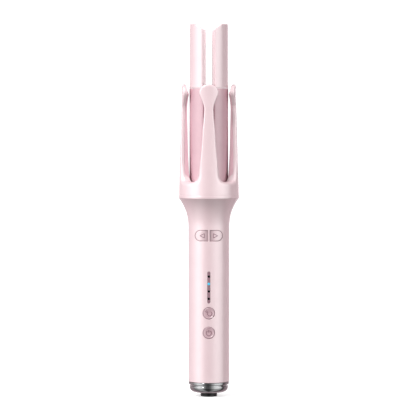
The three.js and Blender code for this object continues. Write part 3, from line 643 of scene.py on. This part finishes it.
def button(outline, centre, face, rings=26):
    """A button's cap: side, rounded edge and a face that follows face(x, z)."""
    edge = 0.4
    shape = Shape()
    cx, cz = centre
    rows = [shape.row([to_front(x, z, face(x, z) - CAP_HEIGHT) for x, z in outline(0)])]
    for k in range(6):
        turn = math.radians(90 * k / 5)
        inset, drop = edge * (1 - math.cos(turn)), edge * (1 - math.sin(turn))
        rows.append(shape.row([to_front(x, z, face(x, z) - drop) for x, z in outline(-inset)]))
    rim = outline(-edge)
    for k in range(1, rings):
        share = 1 - k / rings
        ring = [(cx + (x - cx) * share, cz + (z - cz) * share) for x, z in rim]
        rows.append(shape.row([to_front(x, z, face(x, z)) for x, z in ring]))
    rows.append(shape.row([to_front(cx, cz, face(cx, cz))]))
    shape.rows(rows)
    shape.cap(rows[0])
    return shape


INK_RISE = 0.03
INK_DEPTH = 0.1
SIGN_WIDTH = 0.6  # stroke of the signs on the round buttons


def ribbon(path, width, face, closed):
    """A thin line of ink along a path on a button's face."""
    shape = Shape()
    count = len(path)
    sides = []
    for i, (x, z) in enumerate(path):
        before = path[i - 1] if closed or i else path[i]
        after = path[(i + 1) % count] if closed or i < count - 1 else path[i]
        along = Vector((after[0] - before[0], after[1] - before[1])).normalized()
        across = Vector((-along.y, along.x)) * width / 2
        sides.append(((x + across.x, z + across.y), (x - across.x, z - across.y)))
    rows = []
    for left, right in sides:
        section = ((left, INK_RISE), (right, INK_RISE), (right, -INK_DEPTH), (left, -INK_DEPTH))
        rows.append(shape.row([to_front(*p, face(*p) + up) for p, up in section]))
    if closed:
        rows.append(rows[0])
    else:
        shape.cap(rows[0])
        shape.cap(rows[-1])
    shape.rows(rows)
    return shape


def polyline(corners, closed, step=0.3):
    """Points along straight lines between corners, close enough together to follow a curved face."""
    out = []
    pairs = list(zip(corners, corners[1:] + corners[:1] if closed else corners[1:]))
    for (x0, z0), (x1, z1) in pairs:
        count = max(1, round(math.hypot(x1 - x0, z1 - z0) / step))
        out += [(x0 + (x1 - x0) * k / count, z0 + (z1 - z0) * k / count) for k in range(count)]
    return out if closed else out + [corners[-1]]


def arc_path(x, z, radius, start, sweep, count=28):
    """Part of a circle, in degrees, clockwise from the top."""
    turns = [math.radians(start + sweep * k / count) for k in range(count + 1)]
    return [(x + radius * math.sin(t), z + radius * math.cos(t)) for t in turns]


def icon(name, shapes, body):
    piece(name, merged(name, [shape.mesh(name) for shape in shapes]), INK_AND_SHADOW, body, "button")


def painted_shadow_strip(outline, sink):
    """Strip of painted shadow that fills the line between a button and the shell, a little below both.
    """
    shape = Shape()
    clear = 0.02
    near, far = clear, LINE - clear
    high, low = 0.28, 2.6
    rows = []
    for grow, sunk in ((near, high), (far, high), (far, low), (near, low)):
        points = [to_front(x, z, skin_depth(x) - sunk - sink(x)) for x, z in outline(grow)]
        rows.append(shape.row(points))
    shape.rows([*rows, rows[0]])
    return shape


# Strips of painted shadow in the line round each button.
def painted_shadow_strips():
    for side, name in SIDES:
        strip = painted_shadow_strip(lambda grow, side=side: turn_outline(side, grow), turn_sink)
        piece(f"turn_{name}_seal", strip, INK_AND_SHADOW, "handle", "button")
    for name, z in ROUND_Z.items():
        strip = painted_shadow_strip(lambda grow, z=z: circle(ROUND_R + grow, z), lambda x: 0.0)
        piece(f"{name}_seal", strip, INK_AND_SHADOW, "handle", "button")


def turn_buttons():
    for side, name in SIDES:
        centre = (side * (TURN_SPLIT + TURN_HALF_LENGTH) / 2, TURN_Z)
        cap = button(lambda grow, side=side: turn_outline(side, grow), centre, turn_face)
        body = f"turn_{name}"
        piece(f"{body}_cap", cap, TURN_BUTTON, body, "button", f"{body}_button", degrees=50)
        base, tip = side * 3.7, side * 7.3
        arrow = polyline([(base, TURN_Z - 1.8), (base, TURN_Z + 1.8), (tip, TURN_Z)], True)
        icon(f"{body}_arrow", [ribbon(arrow, 0.5, turn_face, True)], body)


def round_buttons():
    for name, z in ROUND_Z.items():
        face = round_face(z)
        cap = button(lambda grow, z=z: circle(ROUND_R + grow, z), (0, z), face)
        piece(f"{name}_cap", cap, BUTTON, name, "button", f"{name}_button", degrees=50)
        if name == "power":
            ring = ribbon(arc_path(0, z - 0.2, 2.1, 35, 290), SIGN_WIDTH, face, False)
            bar = ribbon(polyline([(0, z + 0.3), (0, z + 2.5)], False), SIGN_WIDTH, face, False)
            icon("power_icon", [ring, bar], name)
        else:
            degree = ribbon(arc_path(-2.0, z + 1.5, 0.65, 0, 360)[:-1], 0.4, face, True)
            hook = ribbon(arc_path(0.7, z - 0.2, 1.9, 50, 260), SIGN_WIDTH, face, False)
            icon("temperature_icon", [degree, hook], name)


def window_face(x, sunk=0.0):
    """Depth of the window's face, a hair below the shell."""
    return skin_depth(x) - WINDOW_SUNK - sunk


def lamp_lens(z, size):
    """Small round dome that comes just through the window."""
    dome = Shape()
    rings = []
    outline = ((1.06, -CAP_HEIGHT), (1.06, -0.02), (0.98, 0.03), (0.7, 0.06), (0.35, 0.08))
    for radius, rise in outline:
        ring = circle(radius * size, z, 32)
        rings.append(dome.row([to_front(x, pz, window_face(x, -rise)) for x, pz in ring]))
    rings.append(dome.row([to_front(0, z, window_face(0, -0.09))]))
    dome.rows(rings)
    dome.cap(rings[0])
    return dome


def indicator():
    """Smoked pane with a small round lens for each lamp, one of them lit."""
    shape = Shape()
    rows = []
    for inset, drop in ((0, 2.4), (0, 0.1), (0.03, 0.03), (0.1, 0.0), (0.6, 0.0), (1.1, 0.0)):
        outline = pane_outline(-inset)
        rows.append(shape.row([to_front(x, z, window_face(x, drop)) for x, z in outline]))
    shape.rows(rows)
    shape.cap(rows[0])
    shape.cap(rows[-1])
    piece("indicator_pane", shape, SMOKE, "handle", "smoke", "indicator_window")
    lit = 3
    for i in range(1, 5):
        dome = lamp_lens(middle(f"lamp_{i}")[2], 1.05 if i == lit else 1.0)
        look = LENS_ON if i == lit else LENS_OFF
        piece(f"lamp_lens_{i}", dome, look, "handle", "lamp", f"lamp_{i}", degrees=50)


# ---- end of the handle


CAP_SPIGOT_R = 14.4


def end_cap():
    """Chrome dome with a shadow groove under the trim ring and a spigot inside the housings."""
    low, high = span("end_cap")
    cap_r = high.x
    top = span("end_trim_ring")[0].z - PIN_GAP
    flat_r, dome_top = 11.4, 7.8
    bore_r, inner_r, groove_r = 5.3, 12.7, 15.1
    floor = low.z + 1.7
    groove = top - 0.95
    profile = [(bore_r, low.z + 0.3), (bore_r + 0.3, low.z), (8, low.z)]
    for k in range(13):
        turn = math.radians(90 * k / 12)
        radius = flat_r + (cap_r - flat_r) * math.sin(turn)
        profile.append((radius, dome_top - (dome_top - low.z) * math.cos(turn)))
    profile += [(cap_r, groove - 0.25), (cap_r - 0.1, groove - 0.08), (cap_r - 0.3, groove)]
    profile += [(groove_r, groove), (groove_r, top), (CAP_SPIGOT_R, top), (CAP_SPIGOT_R, high.z)]
    profile += [(inner_r, high.z), (inner_r, low.z + 3.7), (inner_r - 2, floor), (bore_r, floor)]
    piece("end_cap_dome", turned(profile), CHROME, "handle", "chrome", "end_cap", degrees=40)


def end_trim():
    low, high = span("end_trim_ring")
    inner = CAP_SPIGOT_R + PIN_GAP
    corners = [(inner, low.z, 0.1), (high.x, low.z, 0.6), (high.x, high.z, 0.3), (inner, high.z, 0.1)]
    piece("end_trim", turned(filleted(corners)), CHROME, "handle", "chrome", "end_trim_ring")


def cord_gland():
    """Black gland with a fine groove round it; its neck turns in the end cap."""
    low, high = span("swivel_gland")
    step = span("end_cap")[0].z - PIN_GAP
    bore_r = 3.4
    neck_r = 5
    flange_r = 6.2
    flange_low = high.z - 1.4
    groove_z = 2.0
    corners = [
        (bore_r, low.z, 0.3),
        (high.x - 0.1, low.z, 0.5),
        (high.x, groove_z - 0.4, 0.4),
        (high.x - 0.35, groove_z, 0.15),
        (high.x, groove_z + 0.4, 0.15),
        (high.x, step, 0.25),
        (neck_r, step, 0),
        (neck_r, flange_low, 0),
        (flange_r, flange_low, 0.2),
        (flange_r, high.z, 0.2),
        (bore_r, high.z, 0.2),
    ]
    piece("cord_gland", turned(filleted(corners)), BLACK, "swivel", "gland", "swivel_gland")


# ---- neck ring and cage

CAGE_SHELL = 2.8  # thickness
CAGE_TOP_R = 22.5
SHOULDER = 248.0
HEAD_ROUNDING = 256.5
HEAD_DROP = 0.5
HEAD_LOW = 243.0  # where the shell starts to thicken inwards to the petals' heads
HEAD_FULL = 252.0
HEAD_INNER_R = 19.4
LINER_R = 18.4
WINDOW_FLOOR = 178.6  # foot of the openings between the petals
ROUNDING_TOP = 198.0  # height up to which the rounding round an opening's foot is wider
PETALS = 4
LINER_HEAD = 250.0  # height from which the liner's head is lower than the shell's
LINER_HEAD_SQUASH = (span("cage_liner")[1].z - LINER_HEAD) / (PETAL_TOP - LINER_HEAD)
LINER_GAP = 0.15
LINER_OPENING = 3.4  # how much wider the liner's openings are round their foot
PARALLEL_TO = 8.8  # half width up to which a petal's sides are parallel
RADIAL_FROM = 17.8  # half width from which the rows are radial
CORE_TOP = 252.0  # top of the line inside a petal that its rows run in to
CORE_FALL = 4.0
CORE_ROWS = 10

# Edge of one petal as (half width, height), from its rounded head down to its foot
PETAL_EDGE = [
    (0, PETAL_TOP),
    (3.4, PETAL_TOP - 0.5),
    (6.7, PETAL_TOP - 2.8),
    (8.05, 251.4),
    (5.4, 244.8),
    (3.85, 238),
    (5.1, 221.5),
    (6.2, 205),
    (8.0, 188.8),
    (9.3, 182.0),
    (11.9, 179.2),
    (17.9, WINDOW_FLOOR),
]
EDGE_STEPS = 9  # points on the edge's curve for each of these
FOOT = 8 * EDGE_STEPS  # the point where the petal's foot starts to widen
BEND = 9 * EDGE_STEPS + 4  # the last point that looks down to the ring's foot under the petal


def cage_radius(z):
    """Outer radius of the cage: a taper, then straight, with the petals' tops rounded in a little."""
    taper = CAGE_R + (CAGE_TOP_R - CAGE_R) * min(1.0, (z - CAGE_LOW) / (SHOULDER - CAGE_LOW))
    share = min(1.0, max(0.0, (z - HEAD_ROUNDING) / (PETAL_TOP - HEAD_ROUNDING)))
    return taper - HEAD_DROP * (1 - math.sqrt(1 - share * share))


def spline(points, steps):
    """Smooth curve through the points, with this many steps between each two."""
    out = []
    padded = [Vector(points[0]), *map(Vector, points), Vector(points[-1])]
    for a, b, c, d in zip(padded, padded[1:], padded[2:], padded[3:]):
        start, end = (c - a) * 0.5, (d - b) * 0.5
        for k in range(steps):
            t = k / steps
            h = t * t * (3 - 2 * t)
            out.append(b + (c - b) * h + start * (t * (1 - t) ** 2) - end * (t * t * (1 - t)))
    return out + [padded[-2]]


def edge_round(height, small, large):
    """Radius of a petal's rounded edge: small along the petal, large round the foot of an opening."""
    return small + (large - small) * (1 - ease(height, WINDOW_FLOOR + 2, ROUNDING_TOP))


def foot_share(z):
    """0 along the petals and 1 round the foot of the openings, where the liner stays back."""
    return 1 - ease(z, WINDOW_FLOOR + 2.2, WINDOW_FLOOR + 3.6)


def lip_share(z):
    """How far the shell turns in over the liner: 0 along the petals, 1 at the foot of the openings."""
    return 1 - ease(z, WINDOW_FLOOR + 2.6, WINDOW_FLOOR + 8.0)


def core_line(edge):
    """Where the row from each point of the edge ends: down the petal's middle, then along the foot."""
    reach = CAGE_R * math.sin(math.pi / PETALS)
    last = len(edge) - 1
    core = []
    for i, p in enumerate(edge):
        if i <= FOOT:
            core.append(Vector((0, min(p.y, CORE_TOP - CORE_FALL * i / FOOT))))
        elif i <= BEND:
            share = (i - FOOT) / (BEND - FOOT)
            core.append(Vector((0, edge[FOOT].y + (CAGE_LOW - edge[FOOT].y) * share)))
        else:
            share = (i - BEND) / (last - BEND)
            core.append(Vector((reach * share, CAGE_LOW)))
    return core


def sector_grid(small, large, inset=0.0, foot_inset=0.0, head_squash=1.0):
    """Half of a petal and its share of the base ring, as rows of (point, drop).

    A point is (half width, height). The rows run from the petal's edge inwards, and drop is how far the
    rounded edge falls below the skin.
    """
    edge = [Vector((max(0.0, p.x - inset), p.y)) for p in spline(PETAL_EDGE, EDGE_STEPS)]
    edge[0].x = 0
    towards_solid = []
    for before, after in zip([edge[0], *edge], [*edge[1:], edge[-1]]):
        along = after - before
        towards_solid.append(Vector((along.y, -along.x)).normalized())
    for p, normal in zip(edge, towards_solid):
        p += normal * foot_inset * foot_share(p.y)
    for p in edge:
        if p.y > LINER_HEAD:
            p.y = LINER_HEAD + (p.y - LINER_HEAD) * head_squash
    last = len(edge) - 1
    core = core_line(edge)
    rows = []
    for lateral, drop in [(1 - math.cos(turn), 1 - math.sin(turn)) for turn in QUARTER]:
        row = []
        for i, p in enumerate(edge):
            fillet = edge_round(p.y, small, large)
            along = edge[min(last, i + 1)] - edge[max(0, i - 1)]
            normal = Vector((along.y, -along.x)).normalized()
            towards = (core[i] - p).normalized()
            slant = max(0.45, abs(towards.dot(normal)))
            row.append((p + towards * (lateral * fillet / slant), drop * fillet))
        rows.append(row)
    rim = [p for p, _ in rows[-1]]
    for k in range(1, CORE_ROWS + 1):
        rows.append([(p.lerp(core[i], k / CORE_ROWS), 0.0) for i, p in enumerate(rim)])
    return rows


def on_petal(half_width, z, radius, drop, turn, mirror):
    """Places a sector point: on a petal the sides are parallel, and round the base they are radial."""
    outer = cage_radius(min(z, PETAL_TOP - 0.05))
    radial = math.asin(min(1.0, half_width / outer))
    real = radius - drop
    parallel = math.asin(min(1.0, half_width / real))
    blend = 1 - ease(half_width, PARALLEL_TO, RADIAL_FROM)
    angle = min(radial + (parallel - radial) * blend, math.pi / PETALS)
    if half_width > outer * math.sin(math.pi / PETALS) - 1e-3:
        angle = math.pi / PETALS
    angle = turn + (-angle if mirror else angle) - math.pi / 2
    return (real * math.cos(angle), real * math.sin(angle), z)


def cage_like(outer_radius, inner_radius, small, large, **insets):
    """A cage of petals on a base ring, between two radii given by height and row from the edge."""
    rows = sector_grid(small, large, **insets)
    shape = Shape()
    for copy in range(PETALS * 2):
        turn = (copy // 2) * TAU / PETALS
        mirror = copy % 2 == 1

        def skin(row, radius, k, turn=turn, mirror=mirror):
            return [on_petal(p.x, p.y, radius(p.y, k), drop, turn, mirror) for p, drop in row]

        outside = []
        inside = []
        for k, row in enumerate(rows):
            outside.append(shape.row(skin(row, outer_radius, k)))
            inside.append(shape.row(skin([(p, 0) for p, _ in row], inner_radius, k)))
        shape.rows(outside, closed=False)
        shape.rows(inside, closed=False)
        shape.bridge(outside[0], inside[0], closed=False)
        shape.bridge(outside[-1][BEND:], inside[-1][BEND:], closed=False)
    return shape


def neck_rim():
    """Bull-nosed ring that closes the seam to the housings, with a fine groove under the cage."""
    low = RIM_LOW - PIN_GAP - 0.35
    top = CAGE_LOW - 0.01
    skirt_r = RIM_R - 2.5
    corners = [
        (LINER_R, RIM_LOW, 0),
        (skirt_r, RIM_LOW, 0),
        (skirt_r, low, 0),
        (RIM_R, low, 0.7),
        (RIM_R, top - 1.2, 0.3),
        (RIM_R - 0.2, top - 1.0, 0.1),
        (RIM_R - 0.2, top - 0.85, 0.1),
        (RIM_R - 0.12, top - 0.7, 0.1),
        (RIM_R - 0.12, top, 0),
        (LINER_R, top, 0),
    ]
    piece("neck_rim", turned(filleted(corners)), RIM, "handle", "shell", "neck_ring")


def shell_inside(z):
    """Inner radius of the cage's shell: a constant wall that thickens inwards at the petals' heads."""
    skin = cage_radius(min(z, HEAD_FULL)) - CAGE_SHELL
    return skin + (HEAD_INNER_R - skin) * ease(z, HEAD_LOW, HEAD_FULL)


def cage_inside(z, row):
    """Inside of the shell, turned in over the liner as a lip round the foot of each opening."""
    skin = shell_inside(z)
    turned_in = lip_share(z) if row < len(QUARTER) else 0.0
    return skin + (LINER_R + 0.02 - skin) * turned_in


def liner_outside(z, row):
    return max(cage_inside(z, row) - LINER_GAP, LINER_R + 0.25)


def cage_petals():
    shell = cage_like(lambda z, row: cage_radius(z), cage_inside, 1.1, 2.8)
    piece("cage_petals", shell, SHELL, "handle", "shell", "petal_cage", degrees=55)


def cage_liner():
    insets = {"inset": 0.12, "foot_inset": LINER_OPENING, "head_squash": LINER_HEAD_SQUASH}
    liner = cage_like(liner_outside, lambda z, row: LINER_R, 0.2, 0.35, **insets)
    piece("cage_liner_petals", liner, LINER, "handle", "liner", "cage_liner", degrees=55)


# ---- barrel

TIP_LOW_FACE = BARREL_JOINT + PIN_GAP
SLOT_HALF = 2.25  # half width of the slot at the axis
SLOT_MOUTH_HALF = 4.8
BARREL_MOUTH_HALF = 3.9
SLOT_FLOOR = 190.0
WAIST_ROUNDING = 7
SCOOP_R = 13.6  # of the hollow in the tip's top
SCOOP_Z = 317.5


def half_moon(side, mouth_half, inset):
    """Section of one half of the barrel beside the slot, symmetric front to back."""
    slope = (mouth_half - SLOT_HALF) / BARREL_R
    outer = BARREL_R - inset
    corner = max(0.3, 0.8 - inset)
    half = SLOT_HALF + inset * math.hypot(1, slope)
    mouth_y = math.sqrt(outer**2 - (half + slope * outer) ** 2) * 0.997
    mouth_x = math.sqrt(outer**2 - mouth_y**2)
    gap = math.atan2(mouth_x, mouth_y)
    edge = 0.09  # turn left free at each end of the arc, for the rounded corner
    count = 96
    sweep = math.pi - 2 * (gap + edge)
    arc = []
    for k in range(count + 1):
        turn = -math.pi / 2 + gap + edge + sweep * k / count
        arc.append((outer * math.cos(turn), outer * math.sin(turn), 0))
    corners = [(mouth_x, -mouth_y, corner), *arc, (mouth_x, mouth_y, corner)]
    corners.append((half, 0, WAIST_ROUNDING))
    return [(side * x, y) for x, y in filleted(corners)]


def moon_rows(shape, side, levels, height, mouth_half):
    """Rows of a half moon: levels are (inset, rise) pairs; height(x) is the surface they end on."""
    rows = []
    for inset, rise in levels:
        outline = half_moon(side, mouth_half, inset)
        rows.append(shape.row([(x, y, height(x) + rise) for x, y in outline]))
    return rows


def heated_barrel():
    """Rose-coated tube: round below, two halves with the slot between them above."""
    shape = Shape()
    corners = [(0, BARREL_LOW, 0), (BARREL_R, BARREL_LOW, 0.4)]
    corners += [(BARREL_R, SLOT_FLOOR, 0), (0, SLOT_FLOOR, 0)]
    base = turned(filleted(corners, closed=False), closed=False)
    levels = [(0, SLOT_FLOOR - BARREL_JOINT), (0, -0.3), (0.1, -0.08), (0.3, 0)]
    for side, _ in SIDES:
        rows = moon_rows(shape, side, levels, lambda x: BARREL_JOINT, BARREL_MOUTH_HALF)
        shape.rows(rows)
        shape.cap(rows[0])
        shape.cap(rows[-1])
    data = merged("heated_barrel_tube", [base.mesh("base"), shape.mesh("halves")])
    piece("heated_barrel_tube", data, ROSE, "barrel", "rose", "heated_barrel", degrees=40)


def scoop(x):
    """Height of a prong's top: flat outside, then a hollow that leads down to the slot."""
    inside = SCOOP_R**2 - x * x
    hollow = SCOOP_Z - math.sqrt(inside) if inside > 0 else TIP_TOP
    return min(TIP_TOP, hollow)


def soft_scoop(x):
    """The same with the corner between flat and hollow rounded over."""
    width = 0.9
    samples = [scoop(x + width * (k / 4 - 1)) for k in range(9)]
    return sum(samples) / len(samples)


def tip_prongs():
    """The pale tip in two halves, hollowed towards the slot at the top."""
    edge = 0.9
    rounding = [(edge * (1 - math.cos(turn)), -edge * (1 - math.sin(turn))) for turn in QUARTER]
    foot = [(0.25, 0), (0.08, 0.08), (0, 0.25)]
    for side, name in SIDES:
        shape = Shape()
        bottom = moon_rows(shape, side, foot, lambda x: TIP_LOW_FACE, SLOT_MOUTH_HALF)
        top = moon_rows(shape, side, rounding, soft_scoop, SLOT_MOUTH_HALF)
        shape.rows([*bottom, *top])
        shape.cap(bottom[0])
        cap_across(shape, top[-1])
        piece(f"prong_{name}", shape, SHELL, "barrel", "shell", f"tip_prong_{name}", degrees=40)


def cap_across(shape, row):
    """Closes a loop that is symmetric front to back with quads from front to back."""
    count = len(row)
    for k in range(count // 2 - 1):
        a, b = row[k], row[k + 1]
        c, d = row[count - 3 - k], row[count - 2 - k]
        shape.faces.append((a, b, c, d))


# ---- inner parts

LEVELS = ("low", "middle", "high")
PRESSES = ("turn_left", "turn_right", "temperature", "power")
INNER_LOOKS = [
    (BLACK, ["control_chip", *[f"{name}_switch" for name in PRESSES]]),
    (BOARD, ["main_board"]),
    (BRASS, ["contact_ring_inner", "contact_ring_outer", "contact_pin_inner", "contact_pin_outer"]),
    (BRASS, ["drive_pinion", *[f"slip_ring_{level}" for level in LEVELS]]),
    (CARBON, ["temperature_sensor", *[f"brush_{level}" for level in LEVELS]]),
    (CERAMIC, ["thermal_fuse", *[f"heater_plate_{name}" for _, name in SIDES]]),
    (SPREADER, ["capacitor", *[f"heater_spreader_{name}" for _, name in SIDES]]),
    (STEEL, ["motor_gearbox", "motor_can", "motor_bracket", "motor_shaft", "gland_clip"]),
    (RESIN, ["contact_disc", "contact_holder", "drive_ring_gear", "brush_holder"]),
    (RESIN, ["terminal_block", "bearing_plate", "barrel_carrier"]),
]


def inner_parts():
    """The parts inside keep their CAD solids and only gain a material."""
    for look, nodes in INNER_LOOKS:
        for node in nodes:
            dress(bpy.data.objects[node].data, look)


# ---- floor, light and camera


def pale_floor():
    """A pale floor that runs out of sight."""
    look = Look("pale_floor", Emission_Strength=0.55, Emission_Color=(1, 1, 1, 1))
    look.tint(look.noise(40, 2), (0.82, 0.82, 0.82), (0.84, 0.84, 0.84))
    look.rough(look.noise(5), 0.85, 0.95)
    half, near, far = 4000, -4000, 6000
    shape = Shape()
    shape.cap(shape.row([(-half, near, 0), (half, near, 0), (half, far, 0), (-half, far, 0)]))
    floor = placed("floor", shape.mesh("floor"))
    dress(floor.data, look.material)
    floor.visible_diffuse = False
    floor.visible_glossy = False


def ramped(tree, value, reach, stops):
    """Grey level by where a value lies from -reach to reach; stops are (position, grey)."""
    ramp = tree.nodes.new("ShaderNodeValToRGB")
    ramp.color_ramp.interpolation = "EASE"
    points = ramp.color_ramp.elements
    for point, (position, grey) in zip(list(points), (stops[0], stops[-1])):
        point.position = position
        point.color = (grey, grey, grey, 1)
    for position, grey in stops[1:-1]:
        points.new(position).color = (grey, grey, grey, 1)
    tree.feed(ramp.inputs["Fac"], tree.ranged(value, -reach, reach))
    return ramp.outputs["Color"]


# Brightness of the studio round the object: degrees to the right of the camera, and level
REAR_STRIP = [(153, 0.12), (159, 1.0), (165, 1.0), (170, 0.1), (180, 0.1)]
STUDIO = [(-angle, level) for angle, level in reversed(REAR_STRIP)] + [
    (-125, 0.14),
    (-104, 0.2),
    (-88, 0.7),
    (-62, 1.3),
    (-42, 1.1),
    (-28, 0.35),
    (-16, 0.12),
    (0, 0.1),
    (10, 0.18),
    (23, 0.55),
    (40, 1.12),
    (58, 1.2),
    (75, 0.9),
    (92, 0.05),
    (112, 0.02),
    (130, 0.12),
    *REAR_STRIP,
]
# The same from straight down (0) over level (0.5) to straight up (1)
STUDIO_RISE = [(0, 0.13), (0.35, 0.18), (0.5, 0.5), (0.62, 0.65), (0.8, 0.42), (1, 0.3)]
STUDIO_STRENGTH = 3.5
# Pink glow from behind the object: from in front (0) to behind (1), and from below (0) to above (1)
GLOW_DEPTH = [(0, 0.0), (0.5, 0.0), (0.7, 0.18), (1, 0.18)]
GLOW_RISE = [(0, 0.7), (0.44, 0.7), (0.52, 0.6), (0.8, 0.3), (1, 0.0)]
GLOW_TINT = (1, 0.74, 0.81, 1)
BACKDROP_STRENGTH = 1.2

KEY_TURN = 42.0  # degrees to the left of the camera
KEY_LIFT = 44.0
KEY_DISTANCE = 4.0
KEY_SIZE = 0.8
KEY_POWER = 108.0
KEY_AIM = Vector((0, 0, 0.2))


def studio_light():
    """Soft light from all round: bright panels left and right, dark flags between, dim from below."""
    world = bpy.data.worlds.new("studio")
    bpy.context.scene.world = world
    tree = Tree(world)
    axes = tree.add("SeparateXYZ", {"Vector": tree.add("TexCoord", {})["Generated"]})
    turn = tree.calc("ARCTAN2", axes["X"], tree.calc("MULTIPLY", axes["Y"], -1))
    around = ramped(tree, turn, math.pi, [((angle + 180) / 360, level) for angle, level in STUDIO])
    panels = tree.mix(around, ramped(tree, axes["Z"], 1, STUDIO_RISE), kind="MULTIPLY")
    behind = ramped(tree, axes["Y"], 1, GLOW_DEPTH)
    glow = tree.mix(behind, ramped(tree, axes["Z"], 1, GLOW_RISE), kind="MULTIPLY")
    glow = tree.mix(glow, GLOW_TINT, kind="MULTIPLY")
    sky = tree.nodes["Background"]
    tree.feed(sky.inputs["Color"], tree.mix(panels, glow, kind="ADD"))
    tree.feed(sky.inputs["Strength"], STUDIO_STRENGTH)
    plain = tree.add("Background", {"Color": (1, 1, 1, 1), "Strength": BACKDROP_STRENGTH})
    seen = tree.add("LightPath", {})["Is Camera Ray"]
    shown = tree.add("MixShader", {"Fac": seen, 1: sky.outputs["Background"], 2: plain["Background"]})
    tree.feed(tree.nodes["World Output"].inputs["Surface"], shown["Shader"])


def key_light():
    """Soft key from the upper left, which puts the cage's shadow on the right of the barrel."""
    source = bpy.data.lights.new("key", "AREA")
    source.shape = "DISK"
    source.size = KEY_SIZE
    source.energy = KEY_POWER
    made = placed("key", source)
    turn, lift = math.radians(KEY_TURN), math.radians(KEY_LIFT)
    level = math.cos(lift)
    towards = Vector((-math.sin(turn) * level, -math.cos(turn) * level, math.sin(lift)))
    made.location = KEY_AIM + towards * KEY_DISTANCE
    made.rotation_euler = towards.to_track_quat("Z", "Y").to_euler()


CAMERA_SPOT = Vector((-0.0007, -2.06, 0.250))
CAMERA_AIM = Vector((-0.0007, 0, 0.1566))
CAMERA_LENS = 215


def camera():
    """View from the front, a little above the middle."""
    view = bpy.data.cameras.new("photo_view")
    view.sensor_width = 36
    view.lens = CAMERA_LENS
    view.clip_end = 50
    view.dof.use_dof = False
    made = placed("photo_view", view)
    made.location = CAMERA_SPOT
    made.rotation_euler = (CAMERA_AIM - CAMERA_SPOT).to_track_quat("-Z", "Y").to_euler()
    bpy.context.scene.camera = made


front_housing()
rear_housing()
screws()
painted_shadow_strips()
turn_buttons()
round_buttons()
indicator()
end_cap()
end_trim()
cord_gland()
neck_rim()
cage_petals()
cage_liner()
heated_barrel()
tip_prongs()
inner_parts()
pale_floor()
studio_light()
key_light()
camera()
bpy.context.scene.view_settings.view_transform = "Standard"
